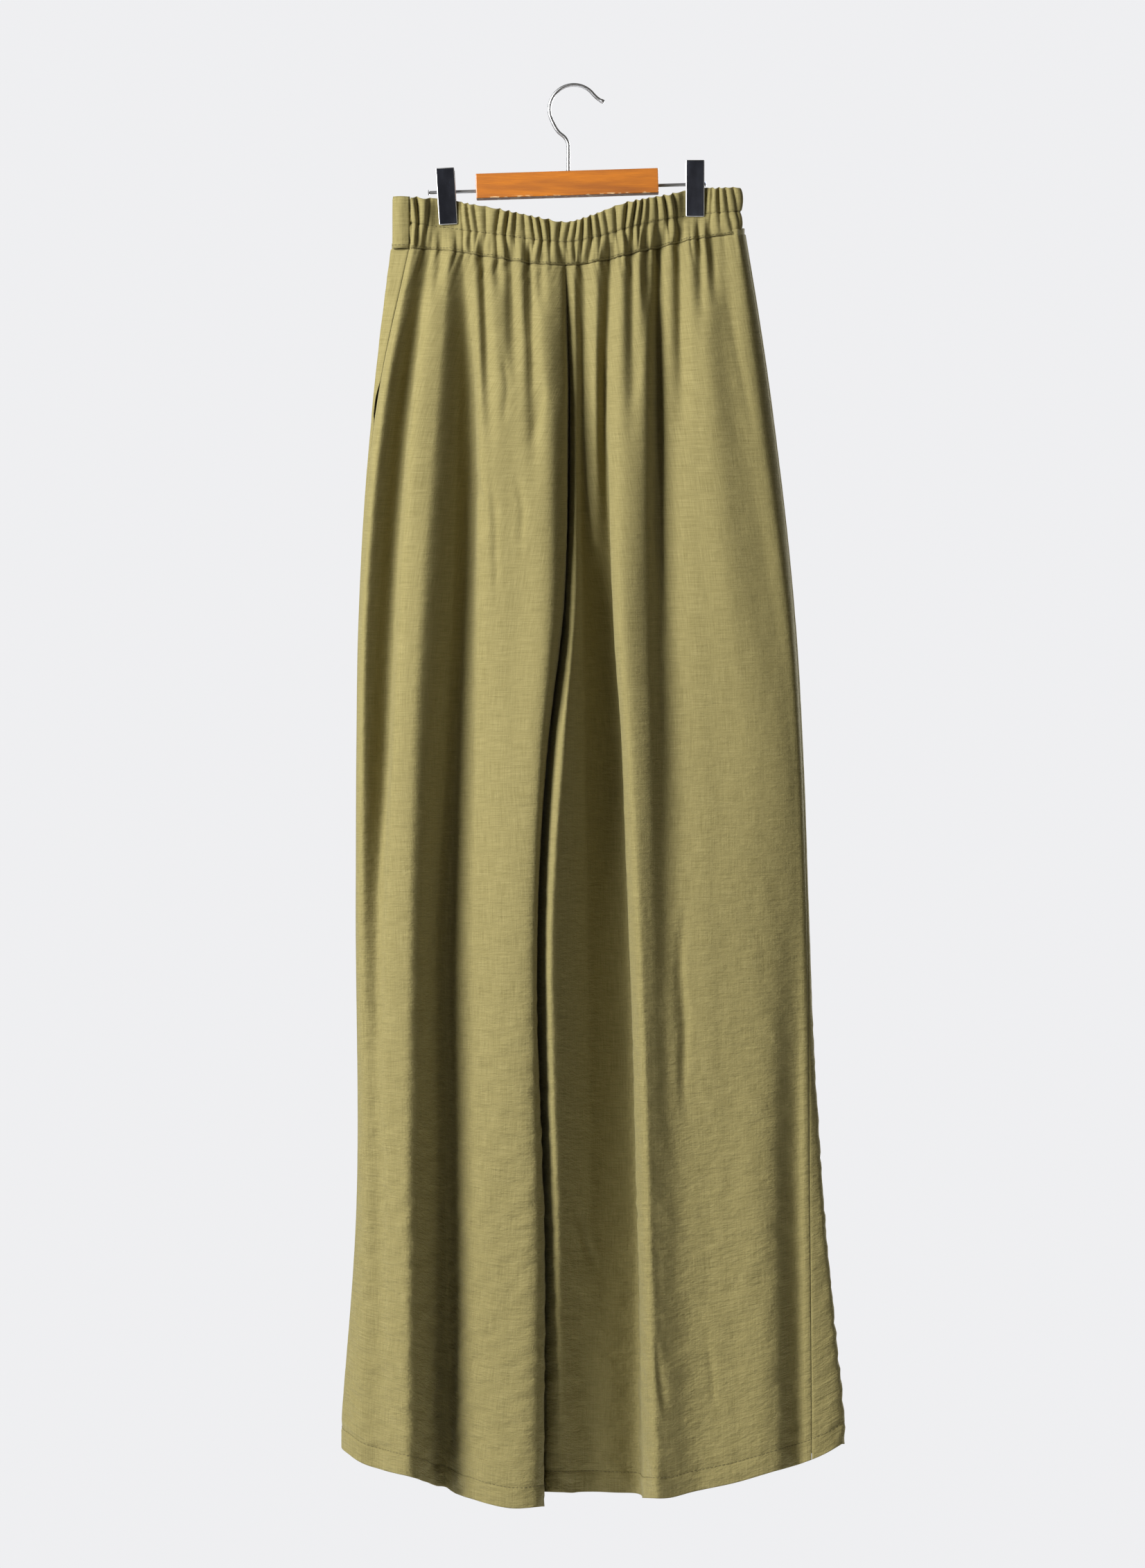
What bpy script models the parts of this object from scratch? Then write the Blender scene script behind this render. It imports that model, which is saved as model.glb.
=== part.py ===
"""Flared trousers, back to the front, hanging by the waistband from a clip hanger.

The trousers are four leg panels, a gathered back waistband, a flat front waistband and two
pocket bags. The hanger is a wood bar with a wire hook, two rods and two plate clips.

Frame: +Z up, and -Y is the side that shows, which is the back of the trousers. The origin is
the highest point inside the hook, where a rail carries it. Tables and sizes are in millimetres.
"""
import math

import bmesh
import bpy
import numpy as np
from mathutils import Matrix, Vector

MM = 0.001

# ---- cloth -----------------------------------------------------------------------------
CLOTH = 1.2             # wall of a leg panel
BAND_CLOTH = 2.0        # wall of the flat front waistband: two layers with interfacing
SEAM_GAP = 0.3          # between the pieces at a seam
WAIST_LEVEL = 132.0     # nominal depth of the waist seam below the hook
HEM_LEVEL = 1100.0      # nominal depth of the hem below the hook
CROTCH_LEVEL = 429.0    # depth of the lowest point of the rise seams
VIEW_DISTANCE = 3200.0  # the tables hold what is seen from this far in front
VIEW_LEVEL = 554.0      # and from this far below the hook

# Each fold runs from waist to hem. Its places (x) and its depths (y, less is nearer the
# viewer) are given at these levels below the hook: waist, hip, crotch, thigh, knee, calf, hem.
LEVELS = (132, 239, 425, 525, 646, 910, 1075)

# Rows go from the side seam to the inner seam, as (fold, places, depths).
BACK_LEFT = (
    ("side_seam", (-130.4, -154, -170.5, -172.2, -172.7, -172.7, -183.7), (-7, -8, 0, 1, 1, 1, 1)),
    ("side_ridge", (-127.6, -149, -165.6, -167.2, -166.7, -163.4, -169), (-9, -16, -20, -20, -20, -22, -24)),
    ("side_trough", (-115.5, -130, -145, -149, -157, -155, -154.6), (-2, 3, 2, 0, -14, -25, -30)),
    ("outer_shoulder", (-106, -123, -134, -141, -146, -146, -144), (-8, -16, -23, -27, -31, -36, -40)),
    ("outer_crest", (-98.5, -108, -124, -129, -131.5, -134, -134), (-9, -18, -27, -32, -37, -44, -48)),
    ("deep_trough", (-87.5, -81, -83.6, -87, -87.5, -82, -81), (-3, 6, 9, 8, 6, 3, 2)),
    ("inner_rise", (-78.7, -74, -71, -70, -70, -67, -67), (-8, -13, -14, -15, -16, -19, -21)),
    ("inner_flat", (-55, -50.6, -45.7, -49, -53.4, -52.3, -54.5), (-10, -18, -25, -28, -31, -34, -38)),
    ("inner_crest", (-17.6, -15, -18, -32.5, -43.5, -38.5, -39), (-10, -20, -29, -31, -31, -33, -36)),
    ("inner_rim", (-8.8, -7.7, -12, -22.6, -31.4, -23, -23.7), (-7, -14, -21, -21, -20, -22, -22)),
    ("inner_seam", (-6.1, -3.3, -9.4, -21.5, -30.8, -22.8, -23.4), (-4, 4, 9, -2, -6, -8, -8)),
)
BACK_RIGHT = (
    ("side_seam", (136, 154.6, 176, 181.5, 185.4, 187.8, 189), (0, 2, 2, 1, -3, -12, -14)),
    ("side_ridge", (130.4, 147, 171, 178.8, 182.6, 184, 184.6), (-8, -12, -10, -8, -10, -18, -20)),
    ("side_trough", (117, 128.7, 159.5, 172, 177, 178.4, 179), (-3, -5, -9, -9, -8, -12, -13)),
    ("panel_brow", (102, 107, 130, 143.6, 150, 153, 155.7), (-10, -17, -19, -17, -15, -17, -19)),
    ("panel_rise", (91, 95, 99, 106, 109, 120, 128), (-10, -17, -19, -16, -13, -15, -16)),
    ("shallow_trough", (68.8, 66, 68.8, 70.4, 72, 81.4, 87), (-4, -8, -10, -11, -14, -17, -19)),
    ("centre_shoulder", (51.7, 51, 48, 51, 55, 62, 68.8), (-10, -16, -19, -21, -25, -31, -34)),
    ("centre_crest", (39, 36, 36, 40.7, 46, 55.6, 62.7), (-10, -16, -22, -26, -29, -35, -37)),
    ("centre_step", (33.6, 29, 31.4, 37, 41.8, 51, 57.8), (-6, -8, -12, -14, -15, -17, -17)),
    ("centre_trough", (29.7, 25, 33, 38.5, 44, 52.8, 59), (-2, 2, 14, 16, 16, 13, 8)),
    ("slope_foot", (19, 18, 20.4, 24.8, 26, 31.4, 34.7), (-9, -6, 10, 11, 10, 10, 6)),
    ("slit_trough", (6.6, 7.2, 10.5, 9.4, -5, -0.6, 5), (-3, 3, -1, -5, -6, 2, 2)),
    ("slit_crest", (0.6, 1.1, 0, 0.6, -19, -16, -13.8), (-7, -4, -14, -23, -24, -12, -9)),
    ("inner_rim", (-3.9, -1.7, -5.2, -16.5, -28, -21, -21.5), (-5, -1, -11, -16, -14, -10, -9)),
    ("inner_seam", (-5.75, -2.95, -9.05, -20.4, -30.4, -23.8, -24.4), (-4, 4, 9, 2, 1, 0, 0)),
)
# The front panels take their side seam and inner seam from the back panels, so they have none.
FRONT_LEFT = (
    ("side_roll", (-145, -158, -170.5, -172, -172.7, -172.7, -184), (0, 0, 8, 8, 8, 8, 8)),
    ("outer_crest", (-136, -146, -155, -155, -154, -153.5, -164.5), (6, 14, 21, 23, 25, 27, 29)),
    ("outer_trough", (-113, -115, -121, -122.7, -122.7, -124, -130), (6, 13, 14, 14, 15, 16, 17)),
    ("middle_crest", (-85, -87.5, -90, -92, -92, -92, -94.6), (7, 17, 26, 28, 30, 33, 36)),
    ("inner_trough", (-61.6, -63, -63, -64, -63, -61, -61), (9, 17, 17, 18, 18, 19, 20)),
    ("inner_crest", (-34, -36, -37, -43.5, -45.7, -42.4, -42.4), (11, 19, 26, 27, 28, 30, 32)),
    ("inner_rim", (-12, -12, -10.8, -22.4, -31.8, -23.8, -24.4), (11, 19, 18, 5, 0, -1, -1)),
)
FRONT_RIGHT = (
    ("side_roll", (137, 155, 176.6, 183, 187, 197, 213), (5, 8, 8, 7, 5, 0, 0)),
    ("outer_crest", (129, 142, 161, 168, 172, 183, 197), (6, 14, 20, 22, 24, 24, 27)),
    ("outer_trough", (106, 112, 128, 134, 136.4, 150, 158), (6, 13, 15, 15, 15, 15, 16)),
    ("middle_crest", (77.6, 80, 92, 98, 102, 112, 117), (7, 17, 26, 28, 30, 33, 36)),
    ("inner_trough", (59.4, 61, 66.6, 70, 73, 80, 84), (9, 17, 18, 18, 18, 19, 20)),
    ("inner_crest", (29, 31.4, 37.4, 43, 47, 54, 59), (11, 20, 28, 30, 32, 34, 35)),
    ("slit_trough", (12.7, 13.8, 13.8, 12.7, 9.4, 12.7, 16), (11, 18, 20, 20, 19, 20, 21)),
    ("slit_crest", (7.6, 8, 2.6, -2.8, -11.6, -8.2, -6.6), (11, 19, 24, 24, 22, 22, 22)),
    ("inner_rim", (2.4, 3.2, -8.2, -22, -31.8, -25.6, -26.2), (11, 18.5, 17, 12, 9, 9, 9)),
)

# Short gathers under the waist seam: (place, depth, run down the panel, half width).
GATHERS_LEFT = (
    (-104.5, 5.0, 45, 3.5),
    (-72.0, 6.5, 190, 3.5),
    (-60.5, 3.5, 30, 3.0),
    (-49.5, 5.0, 140, 4.0),
    (-35.0, 7.0, 210, 4.0),
    (-26.4, 4.0, 45, 3.0),
)
GATHERS_RIGHT = (
    (46.0, 6.5, 170, 4.0),
    (59.4, 9.0, 260, 4.5),
    (84.0, 7.0, 170, 4.0),
    (100.0, 4.5, 80, 3.5),
    (109.0, 4.0, 60, 3.0),
)
RISE_DEPTH = 14.0       # how far the centre front lies behind the centre back at the waist
RISE_LEAN = 2.8         # and how far it lies to the right of it
RISE_CURVE = 180.0      # height over which the rise seams part above the crotch
MOUTH_TOP = 232.0       # the left pocket's mouth gapes from here
MOUTH_END = 268.0       # to here
MOUTH_GAPE = 1.6
BAG_CLOTH = 1.0         # both layers of a pocket bag
BAG_PLAY = 0.15         # extra room between a bag and the panel it follows
BAG_REACH = 78.0        # width of a pocket bag along the front panel
BAG_START = 2           # first column of the panel that it takes
BAG_ROWS = (-6, -2)     # it takes these rows of the front panel's points, counted from the waist
BAG_CORNER = ((-1, 0.5), (-2, 0.16))    # the last columns of its lowest row are raised by these parts

# ---- edges: (x, z) seen from the front ---------------------------------------------------
TOP_EDGE = ((-146, -86.9), (-127, -87.5), (-103, -89.7), (-64, -96.3), (-26, -104.5), (-4, -107.8),
            (13, -103), (40, -93), (68, -87), (101, -81), (130, -79.8))
STITCH_LINE = ((-146, -107.8), (-127, -109), (-103, -112), (-64, -117.7), (-26, -123), (-4, -124.3),
               (18, -120.5), (51, -111), (95, -102.3), (132, -99.6))
WAIST_SEAM = ((-146, -129.2), (-103, -130.4), (-64, -136.4), (-26, -141.9), (5, -141.9),
              (32, -137), (64, -129), (95, -122), (137, -117))
HEM_LEFT = ((-185, -1080), (-169, -1092), (-151, -1098), (-121, -1106), (-95, -1116), (-68, -1125),
            (-49, -1128.6), (-23, -1127))
HEM_RIGHT = ((-23, -1115.4), (17, -1117), (57, -1120.4), (76, -1120.4), (93, -1116), (131, -1107.7),
             (157, -1100), (181, -1093), (199, -1085.7), (213, -1077.5))
WAIST_FADE = 170.0      # the slope of the waist seam is lost over this height
HEM_FADE = 500.0        # and the hem's shape starts this far above it
LEG_ROWS = 15           # rows of points down a leg, closer together near the waist
ROW_BIAS = 1.33
BACK_SPACING = 7.0      # between the points across a panel
FRONT_SPACING = 13.0

# ---- waistband ---------------------------------------------------------------------------
BAND_LINE = ((-129, -6.5), (-120, -5.5), (-109, -2.7), (-100.5, -2.6), (-92, -2.7), (-80, -6), (-60, -9),
             (0, -11), (60, -9), (77, -6), (88, -2.7), (96.5, -2.6), (105, -2.7), (114, -5.5),
             (124, -6.4), (130, -5.4), (131.8, -3.2), (131.8, -1.4))
FRONT_LINE = ((-129.3, -6.6), (-137, -7.6), (-143.4, -3), (-140, 2.6), (-122, 4.6), (-109, 2.2), (-92, 2.2),
              (-60, 8), (0, 11), (60, 8), (88, 2.2), (105, 2.2), (116, 4.6), (127, 5), (131, 3.4),
              (131.7, 1.2), (131.8, -1.05))
GATHER_PITCH = 6.8
GATHER_DEPTH = 2.0      # height of the outer waves either side of the band's mean line
INNER_GATHER = 0.85     # the inner face has this much of the outer face's waves
BAND_GATHERED = 2.2     # wall of the gathered band, measured square to its mean line
PUCKER_DEPTH = 1.3      # height of the puckers along the channel's lower stitching
CLIP_PLACES = (-100.7, 96.5)
CLIP_HOLD = 9.0         # half width held flat by a clip
CLIP_CREASE = 0.04      # part of the waves left under it
SIDE_TURN = 124.0       # the band turns round the right side from here on

# ---- hanger ------------------------------------------------------------------------------
HANGER_TILT = math.radians(1.8)
BAR_CENTRE = (-4.8, 0.0, -77.6)
BAR_SIZE = (144.6, 14.0, 19.5)
BAR_EDGE = 0.6
WIRE_RADIUS = 1.4
HOOK_RADIUS = 18.1      # inside the arc
HOOK_CENTRE = (0.5, -18.1)
HOOK_START = 37.0       # degrees, where the arc leaves the tip
HOOK_END = 212.0        # degrees, where the arc runs into the bend above the shank
HOOK_TIP = ((24.4, -12.4), (20.6, -10.4))
HOOK_BEND = ((-11.6, -36.2), (-6.6, -40.6), (-4.2, -45.0), (-3.9, -50.0), (-3.9, -60.0))
HOOK_POINTS = 48
SHANK_IN_BAR = 9.0
ROD_RADIUS = 1.3
ROD_DROP = 3.2          # below the bar's centre line
ROD_IN_BAR = 14.0
ROD_ENDS = (-115.3, 105.5)
HEAD_RADIUS = 2.1
HEAD_LENGTH = 1.0
BORE_PLAY = 0.3
CLIP_WIDTH = 14.6
CLIP_ABOVE = 18.2       # plate above the rod
CLIP_BELOW = 26.2       # plate below the rod
CLIP_PLATE = 1.2
CLIP_TOP_SPREAD = 8.4   # from the rod's axis to a plate's outer face at the top
CLIP_FRONT_JAW = -3.3   # inner faces of the two plates at the jaw
CLIP_BACK_JAW = 2.6
CLIP_WEB = 3.0          # half height of the web around the rod
CLIP_LEAN = (math.radians(-3.4), 0.0)

OLIVE = (0.27, 0.235, 0.10)
WOOD = (0.62, 0.27, 0.06)
CHROME = (0.78, 0.79, 0.80)


# ---- small tools -------------------------------------------------------------------------
def smooth(low, high, value):
    """0 below low, 1 above high and an even S between them."""
    part = np.clip((np.asarray(value, float) - low) / (high - low), 0.0, 1.0)
    return part * part * (3.0 - 2.0 * part)


def spline(knots, values, at):
    """The smooth curve through values at rising knots, read at the given places."""
    knots = np.asarray(knots, float)
    values = np.asarray(values, float)
    at = np.clip(np.asarray(at, float), knots[0], knots[-1])
    steps = np.diff(knots)
    shape = (-1,) + (1,) * (values.ndim - 1)
    secants = np.diff(values, axis=0) / steps.reshape(shape)
    before = steps[:-1].reshape(shape)
    after = steps[1:].reshape(shape)
    inner = (secants[:-1] * after + secants[1:] * before) / (before + after)
    slopes = np.concatenate([secants[:1], inner, secants[-1:]])
    index = np.clip(np.searchsorted(knots, at, side="right") - 1, 0, len(steps) - 1)
    span = steps[index].reshape(shape)
    part = ((at - knots[index]) / steps[index]).reshape(shape)
    rise = part * part * (3.0 - 2.0 * part)
    start_pull = part * (1.0 - part) ** 2 * span
    end_pull = part * part * (part - 1.0) * span
    return (values[index] * (1.0 - rise) + values[index + 1] * rise
            + slopes[index] * start_pull + slopes[index + 1] * end_pull)


def line_height(line, x):
    """Height of a drawn edge at x."""
    places, heights = zip(*line)
    return spline(places, heights, x)


def chords(points):
    """Running length along a row of points."""
    steps = np.linalg.norm(np.diff(points, axis=0), axis=1)
    return np.concatenate([[0.0], np.cumsum(steps)])


def seen_from_front(points):
    """Draw points nearer than the hanger's plane in towards the line of sight."""
    nearness = 1.0 + np.minimum(points[..., 1], 0.0) / VIEW_DISTANCE
    placed = points.copy()
    placed[..., 0] = points[..., 0] * nearness
    placed[..., 2] = -VIEW_LEVEL + (points[..., 2] + VIEW_LEVEL) * nearness
    return placed


# ---- leg panels --------------------------------------------------------------------------
def fold_points(table, level):
    """Each fold's (x, y) at one level below the hook."""
    places = np.array([row[1] for row in table], float).T
    depths = np.array([row[2] for row in table], float).T
    x = spline(LEVELS, places, [level])[0]
    y = spline(LEVELS, depths, [level])[0]
    return np.stack([x, y], axis=1)


def seam_opening(level, gapes):
    """Gap along the side seam, wider where the pocket's mouth stands open."""
    if not gapes:
        return SEAM_GAP
    opening = smooth(MOUTH_TOP, MOUTH_TOP + 18, level) * (1 - smooth(MOUTH_END - 8, MOUTH_END, level))
    return SEAM_GAP + MOUTH_GAPE * float(opening)


def front_points(front, back, level, gapes):
    """A front panel's folds with its two seams, which follow the back panel's."""
    folds = fold_points(front, level)
    back_folds = fold_points(back, level)
    side = back_folds[0]
    towards = folds[0] - side
    side = side + seam_opening(level, gapes) * towards / np.linalg.norm(towards)
    rise = float(smooth(CROTCH_LEVEL, CROTCH_LEVEL - RISE_CURVE, level))
    inner = back_folds[-1] + np.array([RISE_LEAN * rise, SEAM_GAP + RISE_DEPTH * rise])
    return np.vstack([side, folds, inner])


def across(folds, ghost, counts):
    """Points along the cloth through the folds; ghost is the next fold past the side seam."""
    path = np.vstack([ghost, folds])
    knots = chords(path)
    places = [np.linspace(knots[i + 1], knots[i + 2], n, endpoint=False) for i, n in enumerate(counts)]
    places.append([knots[-1]])
    return spline(knots, path, np.concatenate(places))


def gathered(points, folds_x, gathers, level):
    """Press the short gathers into a row of points below the waist."""
    below = level - WAIST_LEVEL
    waist_x = folds_x[0]
    here_x = folds_x[1]
    order = np.argsort(waist_x)
    for place, depth, run, half_width in gathers:
        centre = np.interp(place, waist_x[order], here_x[order])
        fade = 1.0 - float(smooth(0.35 * run, run, below))
        spread = half_width * (1.0 + 0.6 * below / run)
        shift = (points[:, 0] - centre) / spread
        points[:, 1] += depth * fade * np.exp(-shift ** 2)
    return points


def rows_down(count, bias):
    """Levels from waist to hem, closer together near the waist."""
    parts = (np.arange(count + 1) / count) ** bias
    return WAIST_LEVEL + (HEM_LEVEL - WAIST_LEVEL) * parts


def settle_heights(x, level, hem):
    """Height of a point: level in the middle, on the drawn lines at waist seam and hem."""
    z = np.full_like(x, -level)
    waist_part = 1.0 - smooth(WAIST_LEVEL, WAIST_LEVEL + WAIST_FADE, level)
    hem_part = smooth(HEM_LEVEL - HEM_FADE, HEM_LEVEL, level)
    z += waist_part * (line_height(WAIST_SEAM, x) + WAIST_LEVEL - 0.5 * SEAM_GAP)
    z += hem_part * (line_height(hem, x) + HEM_LEVEL)
    return z


def panel_grid(table, partner, is_front, gathers, hem, gapes, spacing, rows):
    """A leg panel's points in rows from hem to waist, each from side seam to inner seam."""
    def folds_at(level):
        if is_front:
            return front_points(table, partner, level, gapes)
        return fold_points(table, level)

    def ghost_at(level):
        return fold_points(partner, level)[1 if is_front else 0]

    lengths = [np.diff(chords(folds_at(level))) for level in LEVELS[1:]]
    counts = np.clip(np.ceil(np.max(lengths, axis=0) / spacing), 2, 9).astype(int)
    waist_x = folds_at(WAIST_LEVEL)[:, 0]
    grid = []
    for level in rows[::-1]:
        folds = folds_at(level)
        row = across(folds, ghost_at(level), counts)
        row = gathered(row, (waist_x, folds[:, 0]), gathers, level)
        z = settle_heights(row[:, 0], level, hem)
        grid.append(np.column_stack([row, z]))
    return seen_from_front(np.array(grid))


def inward_normals(grid, side):
    """Unit normals at a grid's points; side is 1 where its lines and rises turn inwards, else -1."""
    lines = np.gradient(grid, axis=1)
    rises = np.gradient(grid, axis=0)
    normals = np.cross(lines, rises) * side
    return normals / np.linalg.norm(normals, axis=2, keepdims=True)


def bag_grid(panel, side):
    """A pocket bag: the front panel's points near the side seam, moved in from the cloth."""
    moved = panel + (CLOTH + SEAM_GAP + BAG_PLAY) * inward_normals(panel, side)
    columns = int(np.searchsorted(chords(panel[BAG_ROWS[0]]), BAG_REACH))
    bag = moved[BAG_ROWS[0]:BAG_ROWS[1], BAG_START:columns].copy()
    for column, part in BAG_CORNER:
        bag[0, column] += part * (bag[1, column] - bag[0, column])
    return bag


# ---- waistband ---------------------------------------------------------------------------
def along_band(line, spacing):
    """Points (x, y) along a band's plan through all its corners, and their distances."""
    path = np.array(line, float)
    knots = chords(path)
    counts = np.maximum(1, np.round(np.diff(knots) / spacing)).astype(int)
    places = [np.linspace(a, b, n, endpoint=False) for a, b, n in zip(knots, knots[1:], counts)]
    places = np.concatenate(places + [knots[-1:]])
    return spline(knots, path, places), places


def held_loose(x):
    """1 where the band hangs free, near 0 under a clip."""
    loose = np.ones_like(x)
    for place in CLIP_PLACES:
        loose *= smooth(CLIP_HOLD - 1.0, CLIP_HOLD + 9.0, np.abs(x - place))
    return CLIP_CREASE + (1 - CLIP_CREASE) * loose


def edge_depth(edge_rows, x):
    """Depth of the leg panels' upper edges at x, so that the band meets them."""
    edge = np.vstack(edge_rows)
    edge = edge[np.argsort(edge[:, 0])]
    return np.interp(x, edge[:, 0], edge[:, 1])


def gather_waves(distance):
    """Uneven waves along the elastic channel, and the wider ones of the puckers below it."""
    drift = 0.9 * np.sin(distance / 23.0) + 0.5 * np.sin(distance / 9.7 + 1.0)
    turn = 2 * math.pi * distance / GATHER_PITCH + drift
    waves = np.sin(turn) * (0.85 + 0.15 * np.sin(distance / 5.3))
    puckers = 0.5 * waves + np.sin(0.5 * turn + 0.4)
    return waves, puckers


def band_back_grids(panel_edges):
    """Outer and inner face of the gathered band: puckers, the stitching and the elastic channel."""
    plan, distance = along_band(BAND_LINE, GATHER_PITCH / 4)
    x = plan[:, 0]
    way = np.gradient(plan, axis=0)
    inward = np.column_stack([-way[:, 1], way[:, 0]]) / np.linalg.norm(way, axis=1, keepdims=True)
    loose = held_loose(x)
    waves, puckers = gather_waves(distance)
    top = line_height(TOP_EDGE, x)
    stitch = line_height(STITCH_LINE, x)
    seam = line_height(WAIST_SEAM, x) + 0.5 * SEAM_GAP
    on_edge = plan.copy()
    on_edge[:, 1] = edge_depth(panel_edges, x)
    edge_part = 1 - smooth(SIDE_TURN, BAND_LINE[-1][0], x)[:, None]
    on_edge = plan + edge_part * (on_edge - plan)
    rows = (
        (on_edge, 0 * waves, 0 * waves, seam),
        (0.5 * (on_edge + plan), PUCKER_DEPTH * puckers, 0 * waves, 0.5 * (seam + stitch)),
        (plan, PUCKER_DEPTH * waves, INNER_GATHER * PUCKER_DEPTH * waves, stitch),
        (plan, GATHER_DEPTH * waves, INNER_GATHER * GATHER_DEPTH * waves, stitch + 0.45 * (top - stitch)),
        (plan, 0.8 * GATHER_DEPTH * waves, 0.7 * GATHER_DEPTH * waves, top),
    )
    outer, inner = [], []
    for line, outer_wave, inner_wave, height in rows:
        face = line + inward * (loose * outer_wave)[:, None]
        back = line + inward * (loose * inner_wave + BAND_GATHERED)[:, None]
        outer.append(np.column_stack([face, height]))
        inner.append(np.column_stack([back, height]))
    return np.array(outer), np.array(inner)


def band_front_grid():
    """The flat band, round the left side, along the front and round the right side."""
    plan, _ = along_band(FRONT_LINE, 8.0)
    x = plan[:, 0]
    top = line_height(TOP_EDGE, x) - 0.8
    seam = line_height(WAIST_SEAM, x) + 0.5 * SEAM_GAP
    grid = [np.column_stack([plan, seam + (top - seam) * part]) for part in (0.0, 0.33, 0.67, 1.0)]
    return np.array(grid)


# ---- objects -----------------------------------------------------------------------------
def new_material(name, colour, roughness, metallic):
    material = bpy.data.materials.new(name)
    material.use_nodes = True
    shader = material.node_tree.nodes["Principled BSDF"]
    shader.inputs["Base Color"].default_value = (*colour, 1.0)
    shader.inputs["Roughness"].default_value = roughness
    shader.inputs["Metallic"].default_value = metallic
    material.diffuse_color = (*colour, 1.0)
    return material


def add_object(name, mesh, material, collection):
    mesh.name = name
    mesh.materials.clear()
    mesh.materials.append(material)
    made = bpy.data.objects.new(name, mesh)
    collection.objects.link(made)
    return made


def wall_mesh(outer, inner):
    """A closed wall between two sheets of points, with a rim round its four edges."""
    rows, columns = outer.shape[:2]
    wall = bmesh.new()
    near = [[wall.verts.new(Vector(point) * MM) for point in row] for row in outer]
    far = [[wall.verts.new(Vector(point) * MM) for point in row] for row in inner]
    for sheet in (near, far):
        for r in range(rows - 1):
            for c in range(columns - 1):
                wall.faces.new((sheet[r][c], sheet[r][c + 1], sheet[r + 1][c + 1], sheet[r + 1][c]))
    rim = [(0, c) for c in range(columns)]
    rim += [(r, columns - 1) for r in range(1, rows)]
    rim += [(rows - 1, c) for c in range(columns - 2, -1, -1)]
    rim += [(r, 0) for r in range(rows - 2, 0, -1)]
    for (r, c), (next_r, next_c) in zip(rim, rim[1:] + rim[:1]):
        wall.faces.new((near[r][c], near[next_r][next_c], far[next_r][next_c], far[r][c]))
    bmesh.ops.recalc_face_normals(wall, faces=wall.faces[:])
    mesh = bpy.data.meshes.new("wall")
    wall.to_mesh(mesh)
    wall.free()
    mesh.shade_smooth()
    return mesh


def cloth_wall(name, outer, thickness, side, material, collection):
    """A wall of cloth whose outer face is the grid; the thickness goes inwards."""
    inner = outer + thickness * inward_normals(outer, side)
    return add_object(name, wall_mesh(outer, inner), material, collection)


def tube(name, points, radius, material, collection):
    """A round wire along points, as a curve with filled caps."""
    curve = bpy.data.curves.new(name, "CURVE")
    curve.dimensions = "3D"
    curve.bevel_depth = radius * MM
    curve.bevel_resolution = 2
    curve.use_fill_caps = True
    run = curve.splines.new("POLY")
    run.points.add(len(points) - 1)
    for point, place in zip(run.points, points):
        point.co = (*(Vector(place) * MM), 1.0)
    curve.materials.append(material)
    made = bpy.data.objects.new(name, curve)
    collection.objects.link(made)
    return made


def cylinder_cutter(name, centre, axis, radius, length, collection):
    """A round cutter along axis, hidden from the part."""
    shape = bmesh.new()
    bmesh.ops.create_cone(shape, cap_ends=True, segments=16, radius1=radius * MM, radius2=radius * MM,
                          depth=length * MM)
    mesh = bpy.data.meshes.new(name)
    shape.to_mesh(mesh)
    shape.free()
    cutter = bpy.data.objects.new(name, mesh)
    turn = Vector((0, 0, 1)).rotation_difference(Vector(axis)).to_matrix().to_4x4()
    cutter.matrix_world = Matrix.Translation(Vector(centre) * MM) @ turn
    cutter.hide_render = True
    cutter.display_type = "WIRE"
    collection.objects.link(cutter)
    return cutter


def cut(thing, cutter):
    step = thing.modifiers.new(cutter.name, "BOOLEAN")
    step.operation = "DIFFERENCE"
    step.object = cutter


# ---- hanger ------------------------------------------------------------------------------
def on_hanger(along, depth, up):
    """A place given along and above the bar's centre line, with the hanger's tilt."""
    turn = Matrix.Rotation(-HANGER_TILT, 3, "Y")
    return Vector(BAR_CENTRE) + turn @ Vector((along, depth, up))


def hook_path():
    arc = []
    for degrees in np.arange(HOOK_START, HOOK_END, 7.0):
        angle = math.radians(degrees)
        reach = WIRE_RADIUS + HOOK_RADIUS
        arc.append((HOOK_CENTRE[0] + reach * math.cos(angle), HOOK_CENTRE[1] + reach * math.sin(angle)))
    bar_top = BAR_CENTRE[2] + BAR_SIZE[2] / 2
    foot = (HOOK_BEND[-1][0], bar_top - SHANK_IN_BAR)
    corners = np.array(list(HOOK_TIP) + arc + list(HOOK_BEND) + [foot])
    knots = chords(corners)
    smooth_run = spline(knots, corners, np.linspace(0, knots[-1], HOOK_POINTS))
    return [(x, 0.0, z) for x, z in smooth_run]


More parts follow.
